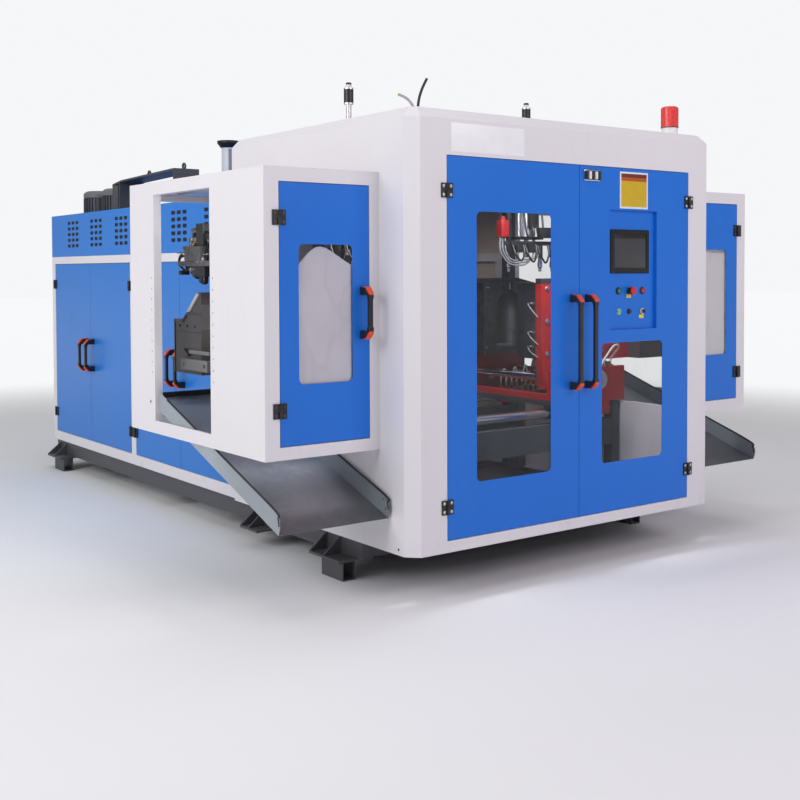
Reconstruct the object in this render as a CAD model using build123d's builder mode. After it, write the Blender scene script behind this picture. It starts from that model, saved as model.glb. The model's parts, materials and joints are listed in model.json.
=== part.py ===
from build123d import *
import os
from math import radians, tan

# Enclosed double-station blow moulding machine, in millimetres.
# X runs across the machine, Y from the operator's side to the rear, Z up from the floor.
# The origin is on the floor, at the middle of the machine's length and width.

os.makedirs("parts", exist_ok=True)

# Overall layout
ENCLOSURE_WIDTH = 2000
ENCLOSURE_DEPTH = 1594
ENCLOSURE_HEIGHT = 1946
MACHINE_LENGTH = 4484
UNDERSIDE = 205
CABINET_WIDTH = 1943
CABINET_HEIGHT = 1653
WING_REACH = 581.5
WING_SETBACK = 230
WING_RAISE = 448
WING_HEIGHT = 1226
HANDLE_REACH = 70

# Sheet metal and running clearances
EDGE_BEVEL = 53
ROOF_BEVEL = 46
WALL = 40
FLOOR_FLANGE = 8
SKIN = 3
DOOR_DEPTH = 28
DOOR_GAP = 3
DOOR_STOP = 12
SEAT = 0.2
RUNNING = 0.06
SLACK = 0.3

# Base frame
BEAM_HEIGHT = 102
BEAM_WIDTH = 60
BEAM_SHEET = 8
BEAM_INSET = 25
BEAM_AHEAD = 584
CROSS_WIDTH = 80
BRACKET_SHEET = 12
BRACKET_REACH = 100
GUSSET_SHEET = 10
GUSSET_DROP = 20
FOOT_WIDTH = 70
FOOT_LENGTH = 180
FOOT_SHEET = 6
FOOT_INSET = 30
FOOT_HOLE_RADIUS = 9
BRACKET_LENGTH = 260
MIDDLE_BRACKET_LENGTH = 180
MIDDLE_BRACKET_BEHIND = 236
REAR_BRACKET_INSET = 324
TRAY_HEIGHT = 25
TRAY_SHEET = 3

# Front doors
FRONT_STILE = 197
FRONT_OPENING_LOW = 51
FRONT_OPENING_HIGH = 1743
DOOR_SPLIT = 8
FRONT_HINGE_HEIGHTS = (406, 1793)
FRONT_WINDOW_LOW = 499
FRONT_WINDOW_HIGH = 1706
FRONT_WINDOW_WIDTH = 456
FRONT_WINDOW_SIDE = 170
LOW_WINDOW_HIGH = 1087
LOW_WINDOW_WIDTH = 441
LOW_WINDOW_SIDE = 198
WINDOW_CORNER = 25
PANE = 5
PANE_LAP = 18
FRONT_HANDLE_LOW = 876
FRONT_HANDLE_LENGTH = 452
FRONT_HANDLE_SPREAD = 50

# Control field on the right front door
FIELD_LEFT = 217
FIELD_WIDTH = 343
FIELD_LOW = 1150
FIELD_HIGH = 1739
FIELD_DEPTH = 18
SCREEN_LEFT = 234
SCREEN_WIDTH = 281
SCREEN_HEIGHT = 216
SCREEN_LOW = 1428
SCREEN_PROUD = 9
BUTTON_COLUMNS = (298, 375, 471)
BUTTON_ROWS = (1341, 1238)
BUTTON_RADIUS = 11
BUTTON_PROUD = 9
BUTTON_LENGTH = 24
MUSHROOM_RADIUS = 20
MUSHROOM_PROUD = 36

# Wing doors and openings
WING_DOOR_INNER = 53.5
WING_DOOR_WIDTH = 457
WING_DOOR_LOW = 707
WING_DOOR_HIGH = 1818
WING_WINDOW_INNER = 143
WING_WINDOW_WIDTH = 272
WING_WINDOW_LOW = 965
WING_WINDOW_HIGH = 1557
WING_HINGE_HEIGHTS = (860, 1667)
WING_HANDLE_LOW = 1148
WING_HANDLE_LENGTH = 227
WING_HANDLE_INNER = 92
WING_SIDE_AHEAD = 317
WING_SIDE_BEHIND = 278
WING_SIDE_LOW = 715
WING_SIDE_HIGH = 1817
WING_SILL = 12
WING_REAR_HEADER = 74
PASSAGE_LOW = 695
PASSAGE_HIGH = 1835

# Cabinets
BOTTOM_RAIL = 66
WHITE_RAIL_LOW = 1300
WHITE_RAIL_HIGH = 1351
FRONT_POST = 67
MIDDLE_POST = 71
REAR_POST = 64
REAR_DOORS_WIDER = 64
CABINET_HINGE_HEIGHTS = (415, 1355)
CABINET_HANDLE_LOW = 760
CABINET_HANDLE_LENGTH = 223
CABINET_HANDLE_SPREAD = 55
VENT_GROUPS = 6
VENT_INSET = 212
VENT_REAR_INSET = 80
SLOT_LENGTH = 57
SLOT_HEIGHT = 23
SLOT_PITCH = 77
SLOT_ROW_PITCH = 40.7
SLOT_MIDDLE = 1714

# Hinges
HINGE_HEIGHT = 64
LEAF_WIDTH = 32
LEAF_SHEET = 5
KNUCKLE_RADIUS = 7
KNUCKLE_OUT = 8
PIN_RADIUS = 3

# Discharge chutes
CHUTE_START = 150
CHUTE_LOW = 360
CHUTE_LENGTH = 1355
CHUTE_SLOPE = 19.5
CHUTE_FLANGE = 85
CHUTE_CORNER = 60
CHUTE_CLEAR = 2
CHUTE_STANDOFF = 13
CHUTE_STANDOFFS = ((300, 430), (740, 585))
CHUTE_HOLES = ((183, 441), (165, 400))

# Moulding stations
STATION_PITCH = 620
STATION_INSET = 560
OPEN_HALF_GAP = 144
MOULD_WIDTH = 400
MOULD_THICKNESS = 164
MOULD_LOW = 955
MOULD_HIGH = 1375
PLATEN_SHEET = 45
PLATEN_INNER = 215
PLATEN_OUTER = 480
PLATEN_LOW = 790
PLATEN_HIGH = 1400
PLATEN_STEP = 940
BOTTLE_RADIUS = 105
NECK_RADIUS = 24
NEST_END = 1397
NEST_LOW = 935
NEST_STEP = 1205
NEST_HIGH = 1342
CARRIAGE_LOW = 705
CARRIAGE_REACH = 434
CARRIAGE_INNER = 220
CARRIAGE_OUTER = 360
CARRIAGE_SHEET = 30
CARRIAGE_HIGH = 900
TIE_RADIUS = 20
TIE_SPREAD = 150
TIE_HEIGHT = 850
ROD_RADIUS = 15
ROD_HEIGHT = 800
GUIDE_RADIUS = 25
GUIDE_HEIGHT = 665
GUIDE_SPREAD = 394
PIN_STROKE = 140
PIN_CLEAR = 5
BLOW_ROD_RADIUS = 14
MANDREL_RADIUS = 18
BLOW_ROD_TOP = 2303
DEFLASH_STROKE = 38
DEFLASH_LOW = 1385
BRIDGE_LOW = 1860
BRIDGE_DEPTH = 60
COLUMN_AHEAD = 934
COLUMN_BEHIND = 454
COLUMN_WIDTH = 62
GUIDE_COLUMN_WIDTH = 64
GUIDE_COLUMN_RISE = 35
SILL_WIDTH = 60
BRIDGE_SPREAD = 85
BRIDGE_WIDTH = 50
SILL_BEAM = (455, 605)
CYLINDER_LOW = 1640
CYLINDER_RADIUS = 45
GUIDE_ROD_SPREAD = 60
GUIDE_ROD_RADIUS = 9
GUIDE_ROD_LENGTH = 420
BLOW_BORE = 300
CLAMP_RADIUS = 42
CLAMP_BODY = 160
CLAMP_ROD = 215
NEST_REACH = 300
NEST_SLOPE_TOP = 32
NEST_SLOPE_END = 162
NEST_RAMP_END = 204
NEST_SHOULDER = 31
DEFLASH_INNER = 110
DEFLASH_OUTER = 190
DEFLASH_FRONT = -90
DEFLASH_REAR = 330
DEFLASH_PLATE = 1470
DEFLASH_ROD_LENGTH = 260
DEFLASH_RAM_LENGTH = 240
DEFLASH_RAM_RADIUS = 12
HANGER_SHEET = 14
BUSH_RADIUS = 16
RAM_BODY_RADIUS = 38

# Extruder
EXTRUDER_HEIGHT = 1735
BARREL_RADIUS = 62
BAND_RADIUS = 80
BAND_INSET = 148
BAND_PITCH = 235
BAND_LENGTH = 190
STAND_BEHIND = 80
STAND_SHEET = 30
SCREW_RADIUS = 35
BARREL_INSET = 394
DRIVE_INSET = 844
GEAR_LENGTH = 250
HOPPER_INSET = 110
HOPPER_RADIUS = 49
BAND_TO_HOPPER = 15
HOPPER_CAP_RADIUS = 80
HOPPER_TOP = 2391
DIE_LOW = 1400

# Hydraulic unit and the things on the rear roof, whose places are measured from the rear face
TANK_X = (-870, -260)
TANK_LENGTH = 370
TANK_INSET = 54
TANK_TOP = 900
ROOF_ITEMS_X = -647
ROOF_MOTORS = ((129, 110, 2044), (464, 100, 2044))
JUNCTION_BOX = (691, 591)
ROOF_BRIDGE = ((591, 2070), (748, 2090), (1604, 2111))
LIFTING_EYES = ((1027, 2118), (1569, 2128))

# Worked out from the sizes above
FRONT = -(MACHINE_LENGTH - HANDLE_REACH) / 2
HALF = ENCLOSURE_WIDTH / 2
WING_OUT = HALF + WING_REACH
ROOF = UNDERSIDE + ENCLOSURE_HEIGHT
CABINET_TOP = UNDERSIDE + CABINET_HEIGHT
CABINET_SIDE = CABINET_WIDTH / 2
WING_LOW = UNDERSIDE + WING_RAISE
WING_HIGH = WING_LOW + WING_HEIGHT
BEAM_OUT = CABINET_SIDE - BEAM_INSET
BEAM_LOW = UNDERSIDE - BEAM_HEIGHT
FOOT_HEIGHT = BEAM_LOW - BRACKET_SHEET
OPENING_LOW = UNDERSIDE + FRONT_OPENING_LOW
OPENING_HIGH = UNDERSIDE + FRONT_OPENING_HIGH
HALF_OPENING = HALF - FRONT_STILE
DOORWAY_LOW = UNDERSIDE + BOTTOM_RAIL
DOORWAY_HIGH = UNDERSIDE + WHITE_RAIL_LOW
PANEL_LOW = UNDERSIDE + WHITE_RAIL_HIGH
DOORWAY_START = ENCLOSURE_DEPTH + FRONT_POST
DOORWAY_END = MACHINE_LENGTH - REAR_POST
MIDDLE_POST_START = DOORWAY_START + (DOORWAY_END - DOORWAY_START - MIDDLE_POST - REAR_DOORS_WIDER) / 2
DOORWAYS = ((DOORWAY_START, MIDDLE_POST_START), (MIDDLE_POST_START + MIDDLE_POST, DOORWAY_END))
VENT_GROUP_PITCH = (MACHINE_LENGTH - ENCLOSURE_DEPTH - VENT_INSET - VENT_REAR_INSET) / VENT_GROUPS
STATION_DEPTH = ENCLOSURE_DEPTH - STATION_INSET
STATION = FRONT + STATION_DEPTH
WING_SIDE_START = STATION_DEPTH - WING_SIDE_AHEAD
WING_SIDE_END = STATION_DEPTH + WING_SIDE_BEHIND
COLUMN_PLACES = (STATION_DEPTH - COLUMN_AHEAD, STATION_DEPTH + COLUMN_BEHIND)
STAND_FOOT = UNDERSIDE - BEAM_SHEET
BARREL_START = ENCLOSURE_DEPTH - BARREL_INSET
BARREL_END = MACHINE_LENGTH - DRIVE_INSET
BARREL_STAND = (BARREL_START + BARREL_END) / 2 + STAND_BEHIND
BAND_START = BARREL_START + BAND_INSET
HOPPER_PLACE = BARREL_END - HOPPER_INSET
BAND_COUNT = int((HOPPER_PLACE - HOPPER_RADIUS - BAND_TO_HOPPER - BAND_START) / BAND_PITCH)
TANK_PLACE = (MACHINE_LENGTH - TANK_INSET - TANK_LENGTH, MACHINE_LENGTH - TANK_INSET)
BEAM_START = STATION_DEPTH - BEAM_AHEAD
CROSS_PLACES = (
    BEAM_START + CROSS_WIDTH / 2, COLUMN_PLACES[1] + COLUMN_WIDTH / 2 - SKIN, BARREL_STAND,
    BARREL_END - HOPPER_INSET - SILL_WIDTH / 2, BARREL_END + GEAR_LENGTH / 2, TANK_PLACE[0] + SILL_WIDTH,
    MACHINE_LENGTH - CROSS_WIDTH / 2 - SKIN,
)
BRACKETS = (
    (BEAM_START + 50, BRACKET_LENGTH, True),
    (STATION_DEPTH + MIDDLE_BRACKET_BEHIND, MIDDLE_BRACKET_LENGTH, False),
    (MACHINE_LENGTH - REAR_BRACKET_INSET, BRACKET_LENGTH, True),
)


def back(distance):
    """Y of a point this far behind the front face."""
    return FRONT + distance


def span(side, inner, outer):
    """X range between two distances from the middle, on the left (-1) or right (1)."""
    return tuple(sorted((side * inner, side * outer)))


def block(x, y, z, mode=Mode.ADD):
    """Rectangular stock between the given (low, high) pairs."""
    with Locations((sum(x) / 2, sum(y) / 2, sum(z) / 2)):
        Box(x[1] - x[0], y[1] - y[0], z[1] - z[0], mode=mode)


def shaft(start, direction, radius, length, mode=Mode.ADD):
    """Round stock from a start point along a direction."""
    with BuildSketch(Plane(origin=start, z_dir=direction)) as section:
        Circle(radius)
    extrude(section.sketch, amount=length, mode=mode)


def facing_front(y):
    """Upright plane across the machine: sketches in X and Z, its normal to the front."""
    return Plane(origin=(0, y, 0), x_dir=(1, 0, 0), z_dir=(0, -1, 0))


def facing_side(x):
    """Upright plane along the machine: sketches in Y and Z, its normal to the right."""
    return Plane(origin=(x, 0, 0), x_dir=(0, 1, 0), z_dir=(1, 0, 0))


def window(x, z, corner):
    """Rounded window outline in the open sketch, between (low, high) pairs."""
    with Locations((sum(x) / 2, sum(z) / 2)):
        RectangleRounded(x[1] - x[0], z[1] - z[0], corner)


def grow(pair, amount):
    """A (low, high) pair made wider by an amount at each end."""
    return (pair[0] - amount, pair[1] + amount)


def save(builder, label):
    """Label a finished piece and write it."""
    builder.part.label = label
    export_step(builder.part, f"parts/{label}.step")


def hinge_leaf(place, fixed):
    """One leaf of a surface hinge, with its half of the knuckle.

    The place's x axis points to the door, its y axis into the machine and its origin is on
    the outer face, at the hinge line.
    """
    reach = -1 if fixed else 1
    half = HINGE_HEIGHT / 2
    plate = sorted((reach * (KNUCKLE_RADIUS + 1.5), reach * LEAF_WIDTH))
    web = sorted((0, reach * (KNUCKLE_RADIUS + 1.5)))
    level = sorted((reach * 0.5, reach * half))
    with BuildSketch(place.offset(-half)) as leaf:
        with Locations((sum(plate) / 2, -LEAF_SHEET / 2)):
            Rectangle(plate[1] - plate[0], LEAF_SHEET)
    extrude(leaf.sketch, amount=HINGE_HEIGHT)
    with BuildSketch(place.offset(level[0])) as knuckle:
        with Locations((sum(web) / 2, -LEAF_SHEET / 2)):
            Rectangle(web[1] - web[0], LEAF_SHEET)
        with Locations((0, -KNUCKLE_OUT)):
            Circle(KNUCKLE_RADIUS)
    extrude(knuckle.sketch, amount=level[1] - level[0])
    pin_height = level[1] if fixed else level[0]
    with BuildSketch(place.offset(pin_height)) as pin:
        with Locations((0, -KNUCKLE_OUT)):
            Circle(PIN_RADIUS if fixed else PIN_RADIUS + RUNNING)
    if fixed:
        extrude(pin.sketch, amount=half - 2)
    else:
        extrude(pin.sketch, amount=half - 1, mode=Mode.SUBTRACT)


def hinge_places(origin_of, x_dir, heights):
    """Planes of one door's hinges. A door to the left or rear is set upside down."""
    turned = x_dir in ((-1, 0, 0), (0, 1, 0))
    return [
        Plane(origin=(*origin_of, height), x_dir=x_dir, z_dir=(0, 0, -1 if turned else 1))
        for height in heights
    ]


def pull_handle(origin, outward, across, length):
    """Pull handle: a grip bar between two bevelled end caps, as three solids."""
    bar = 18
    width = 24
    foot = 36
    cap = 52
    bevel = 24
    ease = 6
    bottom = Plane(origin=origin, x_dir=outward, z_dir=across)
    top_origin = (origin[0], origin[1], origin[2] + length)
    top = Plane(origin=top_origin, x_dir=outward, z_dir=tuple(-v for v in across))
    for place in (bottom, top):
        with BuildSketch(place) as cap_side:
            with BuildLine():
                Polyline(
                    (SEAT, 0), (HANDLE_REACH - bevel, 0), (HANDLE_REACH, bevel), (HANDLE_REACH, cap),
                    (HANDLE_REACH - bar, cap), (HANDLE_REACH - bar, foot + ease), (HANDLE_REACH - bar - ease, foot),
                    (SEAT, foot), close=True,
                )
            make_face()
        extrude(cap_side.sketch, amount=width / 2, both=True)
    with BuildSketch(bottom.offset(-width / 2 + 2)) as grip:
        with Locations((HANDLE_REACH - bar / 2, length / 2)):
            Rectangle(bar - 4, length - 2 * cap - 2 * SEAT)
    extrude(grip.sketch, amount=width - 4)


# Base frame: channel beams open to the inside, tube cross members, gusset brackets, feet and a drip tray
with BuildPart() as drip_tray:
    tray_x = BEAM_OUT - BEAM_WIDTH - SEAT
    tray_low = UNDERSIDE - BEAM_SHEET
    block((-tray_x, tray_x), (back(WALL + TRAY_SHEET), back(ENCLOSURE_DEPTH - TRAY_SHEET)), (tray_low, tray_low + TRAY_HEIGHT))
    offset(amount=-TRAY_SHEET, openings=faces().sort_by(Axis.Z)[-1])
with BuildPart() as base_frame:
    add(drip_tray.part)
    for side in (-1, 1):
        beam = span(side, BEAM_OUT - BEAM_WIDTH, BEAM_OUT)
        hollow = span(side, BEAM_OUT - BEAM_WIDTH, BEAM_OUT - BEAM_SHEET)
        length = (back(BEAM_START), back(MACHINE_LENGTH))
        block(beam, length, (BEAM_LOW, UNDERSIDE))
        block(hollow, length, (BEAM_LOW + BEAM_SHEET, UNDERSIDE - BEAM_SHEET), mode=Mode.SUBTRACT)
        for start, plate, has_foot in BRACKETS:
            plate_x = span(side, BEAM_OUT - BEAM_WIDTH, BEAM_OUT + BRACKET_REACH)
            plate_z = (FOOT_HEIGHT + SEAT, BEAM_LOW - SEAT)
            block(plate_x, (back(start), back(start + plate)), plate_z)
            for gusset in (start + plate / 2, start + plate - GUSSET_SHEET):
                with BuildSketch(facing_front(back(gusset))):
                    with BuildLine():
                        Polyline(
                            (side * (BEAM_OUT + SEAT), BEAM_LOW - SEAT),
                            (side * (BEAM_OUT + BRACKET_REACH), BEAM_LOW - SEAT),
                            (side * (BEAM_OUT + SEAT), UNDERSIDE - GUSSET_DROP),
                            close=True,
                        )
                    make_face()
                extrude(amount=-GUSSET_SHEET)
            if has_foot:
                foot_x = BEAM_OUT + BRACKET_REACH - FOOT_INSET - FOOT_WIDTH / 2
                with BuildSketch(facing_front(back(start + BRACKET_SHEET))):
                    with Locations((side * foot_x, FOOT_HEIGHT / 2)):
                        Rectangle(FOOT_WIDTH, FOOT_HEIGHT)
                        Rectangle(
                            FOOT_WIDTH - 2 * FOOT_SHEET, FOOT_HEIGHT - 2 * FOOT_SHEET, mode=Mode.SUBTRACT
                        )
                extrude(amount=-FOOT_LENGTH)
                foot_middle = back(start + BRACKET_SHEET + FOOT_LENGTH / 2)
                shaft((side * foot_x, foot_middle, -1), (0, 0, 1), FOOT_HOLE_RADIUS, FOOT_SHEET + 2, mode=Mode.SUBTRACT)
    for place in CROSS_PLACES:
        reach = BEAM_OUT - BEAM_SHEET - SEAT
        depth = (back(place) - CROSS_WIDTH / 2, back(place) + CROSS_WIDTH / 2)
        height = (BEAM_LOW + BEAM_SHEET + SEAT, UNDERSIDE - BEAM_SHEET - SEAT)
        block((-reach, reach), depth, height)
save(base_frame, "base_frame")

# Moulding enclosure: one bevelled shell, cut into the sheet-metal pieces that it is made of
with BuildPart() as enclosure_shell:
    with BuildSketch(Plane.XY.offset(UNDERSIDE)):
        with Locations((0, back(ENCLOSURE_DEPTH / 2))):
            Rectangle(ENCLOSURE_WIDTH, ENCLOSURE_DEPTH)
    extrude(amount=ENCLOSURE_HEIGHT)
    chamfer(edges().filter_by(Axis.Z).group_by(Axis.Y)[0], length=EDGE_BEVEL)
    chamfer(faces().sort_by(Axis.Z)[-1].edges().sort_by(Axis.Y)[:-1], length=ROOF_BEVEL)
    offset(amount=-WALL, openings=faces().sort_by(Axis.Z)[0])

ROOF_SEAM = ROOF - ROOF_BEVEL
REAR_RETURN = 100

with BuildPart() as enclosure_front_frame:
    add(enclosure_shell.part)
    block((-HALF, HALF), (back(0), back(EDGE_BEVEL)), (UNDERSIDE, ROOF_SEAM), mode=Mode.INTERSECT)
    doorway = ((-HALF_OPENING, HALF_OPENING), (OPENING_LOW, OPENING_HIGH))
    block(doorway[0], (back(0), back(DOOR_DEPTH + 1)), doorway[1], mode=Mode.SUBTRACT)
    block(
        grow(doorway[0], -DOOR_STOP), (back(0), back(WALL)), grow(doorway[1], -DOOR_STOP),
        mode=Mode.SUBTRACT,
    )
save(enclosure_front_frame, "enclosure_front_frame")

for side, name in ((-1, "left"), (1, "right")):
    with BuildPart() as enclosure_side:
        add(enclosure_shell.part)
        block(
            span(side, HALF - REAR_RETURN, HALF), (back(EDGE_BEVEL), back(ENCLOSURE_DEPTH)),
            (UNDERSIDE, ROOF_SEAM), mode=Mode.INTERSECT,
        )
        block(
            span(side, HALF - WALL, HALF),
            (back(WING_SETBACK + WALL), back(ENCLOSURE_DEPTH - WALL)),
            (PASSAGE_LOW, PASSAGE_HIGH), mode=Mode.SUBTRACT,
        )
        block(
            span(side, BEAM_OUT - BEAM_WIDTH, HALF - WALL),
            (back(COLUMN_PLACES[0]), back(ENCLOSURE_DEPTH)), (UNDERSIDE, UNDERSIDE + FLOOR_FLANGE),
        )
    save(enclosure_side, f"enclosure_side_{name}")

with BuildPart() as enclosure_roof:
    add(enclosure_shell.part)
    block((-HALF, HALF), (back(0), back(ENCLOSURE_DEPTH)), (CABINET_TOP, ROOF), mode=Mode.INTERSECT)
    block((-HALF, HALF), (back(0), back(ENCLOSURE_DEPTH - WALL)), (CABINET_TOP, ROOF_SEAM), mode=Mode.SUBTRACT)
    for side in (-1, 1):
        block(
            span(side, HALF - REAR_RETURN, HALF), (back(0), back(ENCLOSURE_DEPTH)),
            (CABINET_TOP, ROOF_SEAM), mode=Mode.SUBTRACT,
        )
        shaft((side * STATION_PITCH, STATION, ROOF - 2 * WALL), (0, 0, 1), BLOW_ROD_RADIUS + 8, 3 * WALL,
              mode=Mode.SUBTRACT)
save(enclosure_roof, "enclosure_roof")

# Wings: box shells open at the rear, below and towards the enclosure
for side, name in ((-1, "left"), (1, "right")):
    with BuildPart() as wing_shell:
        block(span(side, HALF, WING_OUT), (back(WING_SETBACK), back(ENCLOSURE_DEPTH)), (WING_LOW, WING_HIGH))
        block(
            span(side, HALF, WING_OUT - WALL),
            (back(WING_SETBACK + WALL), back(ENCLOSURE_DEPTH - WALL)),
            (WING_LOW, WING_HIGH - WALL), mode=Mode.SUBTRACT,
        )
        block(
            span(side, HALF + WALL, WING_OUT - WALL), (back(ENCLOSURE_DEPTH - WALL), back(ENCLOSURE_DEPTH)),
            (WING_LOW + WALL, WING_HIGH - WING_REAR_HEADER), mode=Mode.SUBTRACT,
        )
        door_x = span(side, HALF + WING_DOOR_INNER, HALF + WING_DOOR_INNER + WING_DOOR_WIDTH)
        door_z = (WING_DOOR_LOW, WING_DOOR_HIGH)
        recess = (back(WING_SETBACK), back(WING_SETBACK + DOOR_DEPTH + 1))
        block(door_x, recess, door_z, mode=Mode.SUBTRACT)
        block(
            grow(door_x, -DOOR_STOP), (back(WING_SETBACK), back(WING_SETBACK + WALL)),
            grow(door_z, -DOOR_STOP), mode=Mode.SUBTRACT,
        )
        block(
            span(side, WING_OUT - WALL, WING_OUT), (back(WING_SIDE_START), back(WING_SIDE_END)),
            (WING_SIDE_LOW, WING_SIDE_HIGH), mode=Mode.SUBTRACT,
        )
        block(
            span(side, WING_OUT - WALL, WING_OUT - WING_SILL),
            (back(WING_SETBACK + WALL), back(WING_SIDE_END)), (WING_LOW, WING_SIDE_LOW), mode=Mode.SUBTRACT,
        )
    save(wing_shell, f"wing_{name}_shell")

# Front doors: folded pans with a window, the right one with a recessed control field
FRONT_DOOR_LOW = OPENING_LOW + DOOR_GAP
FRONT_DOOR_HIGH = OPENING_HIGH - DOOR_GAP
FRONT_DOORS = {
    "left": (
        (-HALF_OPENING + DOOR_GAP, DOOR_SPLIT - DOOR_GAP / 2), FRONT_WINDOW_SIDE, FRONT_WINDOW_WIDTH, FRONT_WINDOW_HIGH,
    ),
    "right": (
        (DOOR_SPLIT + DOOR_GAP / 2, HALF_OPENING - DOOR_GAP), LOW_WINDOW_SIDE, LOW_WINDOW_WIDTH, LOW_WINDOW_HIGH,
    ),
}
for name, (leaf_x, glass_side, glass_width, glass_high) in FRONT_DOORS.items():
    side = -1 if name == "left" else 1
    hinge_x = side * HALF_OPENING
    glass_x = span(side, HALF_OPENING - glass_side - glass_width, HALF_OPENING - glass_side)
    glass_z = (FRONT_WINDOW_LOW, glass_high)
    with BuildPart() as front_door:
        block(leaf_x, (back(0), back(DOOR_DEPTH)), (FRONT_DOOR_LOW, FRONT_DOOR_HIGH))
        offset(amount=-SKIN, openings=faces().sort_by(Axis.Y)[-1])
        if name == "right":
            field_x = (FIELD_LEFT, FIELD_LEFT + FIELD_WIDTH)
            field_z = (FIELD_LOW, FIELD_HIGH)
            block(grow(field_x, SKIN), (back(0), back(FIELD_DEPTH + SKIN)), grow(field_z, SKIN))
            block(field_x, (back(0), back(FIELD_DEPTH)), field_z, mode=Mode.SUBTRACT)
            for column in BUTTON_COLUMNS:
                for row in BUTTON_ROWS:
                    shaft((column, back(0), row), (0, 1, 0), BUTTON_RADIUS + SLACK, DOOR_DEPTH, mode=Mode.SUBTRACT)
        with BuildSketch(facing_front(back(0))):
            window(glass_x, glass_z, WINDOW_CORNER)
        extrude(amount=-SKIN, mode=Mode.SUBTRACT)
        for place in hinge_places((hinge_x, back(0)), (-side, 0, 0), FRONT_HINGE_HEIGHTS):
            hinge_leaf(place, fixed=False)
    save(front_door, f"front_door_{name}")

    with BuildPart() as front_window:
        with BuildSketch(facing_front(back(SKIN))):
            window(grow(glass_x, PANE_LAP), grow(glass_z, PANE_LAP), WINDOW_CORNER)
        extrude(amount=-PANE)
    save(front_window, f"front_window_{name}")

    with BuildPart() as front_handle:
        handle_x = DOOR_SPLIT + side * FRONT_HANDLE_SPREAD
        pull_handle((handle_x, back(0), FRONT_HANDLE_LOW), (0, -1, 0), (-1, 0, 0), FRONT_HANDLE_LENGTH)
    save(front_handle, f"front_handle_{name}")

# Control field: screen, five push buttons and a key selector
with BuildPart() as hmi_screen:
    screen_z = (SCREEN_LOW, SCREEN_LOW + SCREEN_HEIGHT)
    screen_x = (SCREEN_LEFT, SCREEN_LEFT + SCREEN_WIDTH)
    block(screen_x, (back(FIELD_DEPTH - SCREEN_PROUD), back(FIELD_DEPTH)), screen_z)
    chamfer(faces().sort_by(Axis.Y)[0].edges(), length=3)
    bezel = 22
    block(grow(screen_x, -bezel), (back(FIELD_DEPTH - SCREEN_PROUD), back(FIELD_DEPTH - SCREEN_PROUD + 2)),
          grow(screen_z, -bezel), mode=Mode.SUBTRACT)
save(hmi_screen, "hmi_screen")

BUTTONS = (
    ("button_start", 0, 0), ("emergency_stop", 1, 0), ("button_stop", 2, 0),
    ("button_heat", 0, 1), ("button_reset", 1, 1), ("key_selector", 2, 1),
)
for name, column, row in BUTTONS:
    centre = (BUTTON_COLUMNS[column], back(FIELD_DEPTH - BUTTON_PROUD), BUTTON_ROWS[row])
    with BuildPart() as button:
        if name == "key_selector":
            shaft(centre, (0, 1, 0), BUTTON_RADIUS, BUTTON_LENGTH)
            lever = (centre[1] - 10, centre[1])
            block((centre[0] - 4, centre[0] + 4), lever, (centre[2] - 10, centre[2] + 10))
        elif name == "emergency_stop":
            head = BUTTON_PROUD - MUSHROOM_PROUD
            with BuildSketch(Plane(origin=centre, x_dir=(1, 0, 0), z_dir=(0, 0, 1))):
                with BuildLine():
                    Polyline(
                        (0, BUTTON_LENGTH), (BUTTON_RADIUS, BUTTON_LENGTH), (BUTTON_RADIUS, head + 22),
                        (MUSHROOM_RADIUS, head + 14), (MUSHROOM_RADIUS, head + 4), (MUSHROOM_RADIUS - 5, head),
                        (0, head), close=True,
                    )
                make_face()
            revolve(axis=Axis(centre, (0, 1, 0)), revolution_arc=360)
        else:
            shaft(centre, (0, 1, 0), BUTTON_RADIUS, BUTTON_LENGTH)
            chamfer(faces().sort_by(Axis.Y)[0].edges(), length=1.5)
    save(button, name)

# Wing doors: pans with a window, a handle and hinge leaves
for side, name in ((-1, "left"), (1, "right")):
    hinge_x = side * (HALF + WING_DOOR_INNER + WING_DOOR_WIDTH)
    leaf_x = grow(span(side, HALF + WING_DOOR_INNER, HALF + WING_DOOR_INNER + WING_DOOR_WIDTH), -DOOR_GAP)
    glass_x = span(side, HALF + WING_WINDOW_INNER, HALF + WING_WINDOW_INNER + WING_WINDOW_WIDTH)
    glass_z = (WING_WINDOW_LOW, WING_WINDOW_HIGH)
    face = back(WING_SETBACK)
    with BuildPart() as wing_door:
        block(leaf_x, (face, face + DOOR_DEPTH), (WING_DOOR_LOW + DOOR_GAP, WING_DOOR_HIGH - DOOR_GAP))
        offset(amount=-SKIN, openings=faces().sort_by(Axis.Y)[-1])
        with BuildSketch(facing_front(face)):
            window(glass_x, glass_z, WINDOW_CORNER)
        extrude(amount=-SKIN, mode=Mode.SUBTRACT)
        for place in hinge_places((hinge_x, face), (-side, 0, 0), WING_HINGE_HEIGHTS):
            hinge_leaf(place, fixed=False)
        pull_handle((side * (HALF + WING_HANDLE_INNER), face, WING_HANDLE_LOW), (0, -1, 0), (-1, 0, 0),
                    WING_HANDLE_LENGTH)
    save(wing_door, f"wing_door_{name}")

    with BuildPart() as wing_window:
        with BuildSketch(facing_front(face + SKIN)):
            window(grow(glass_x, PANE_LAP), grow(glass_z, PANE_LAP), WINDOW_CORNER)
        extrude(amount=-PANE)
    save(wing_window, f"wing_window_{name}")

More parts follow.
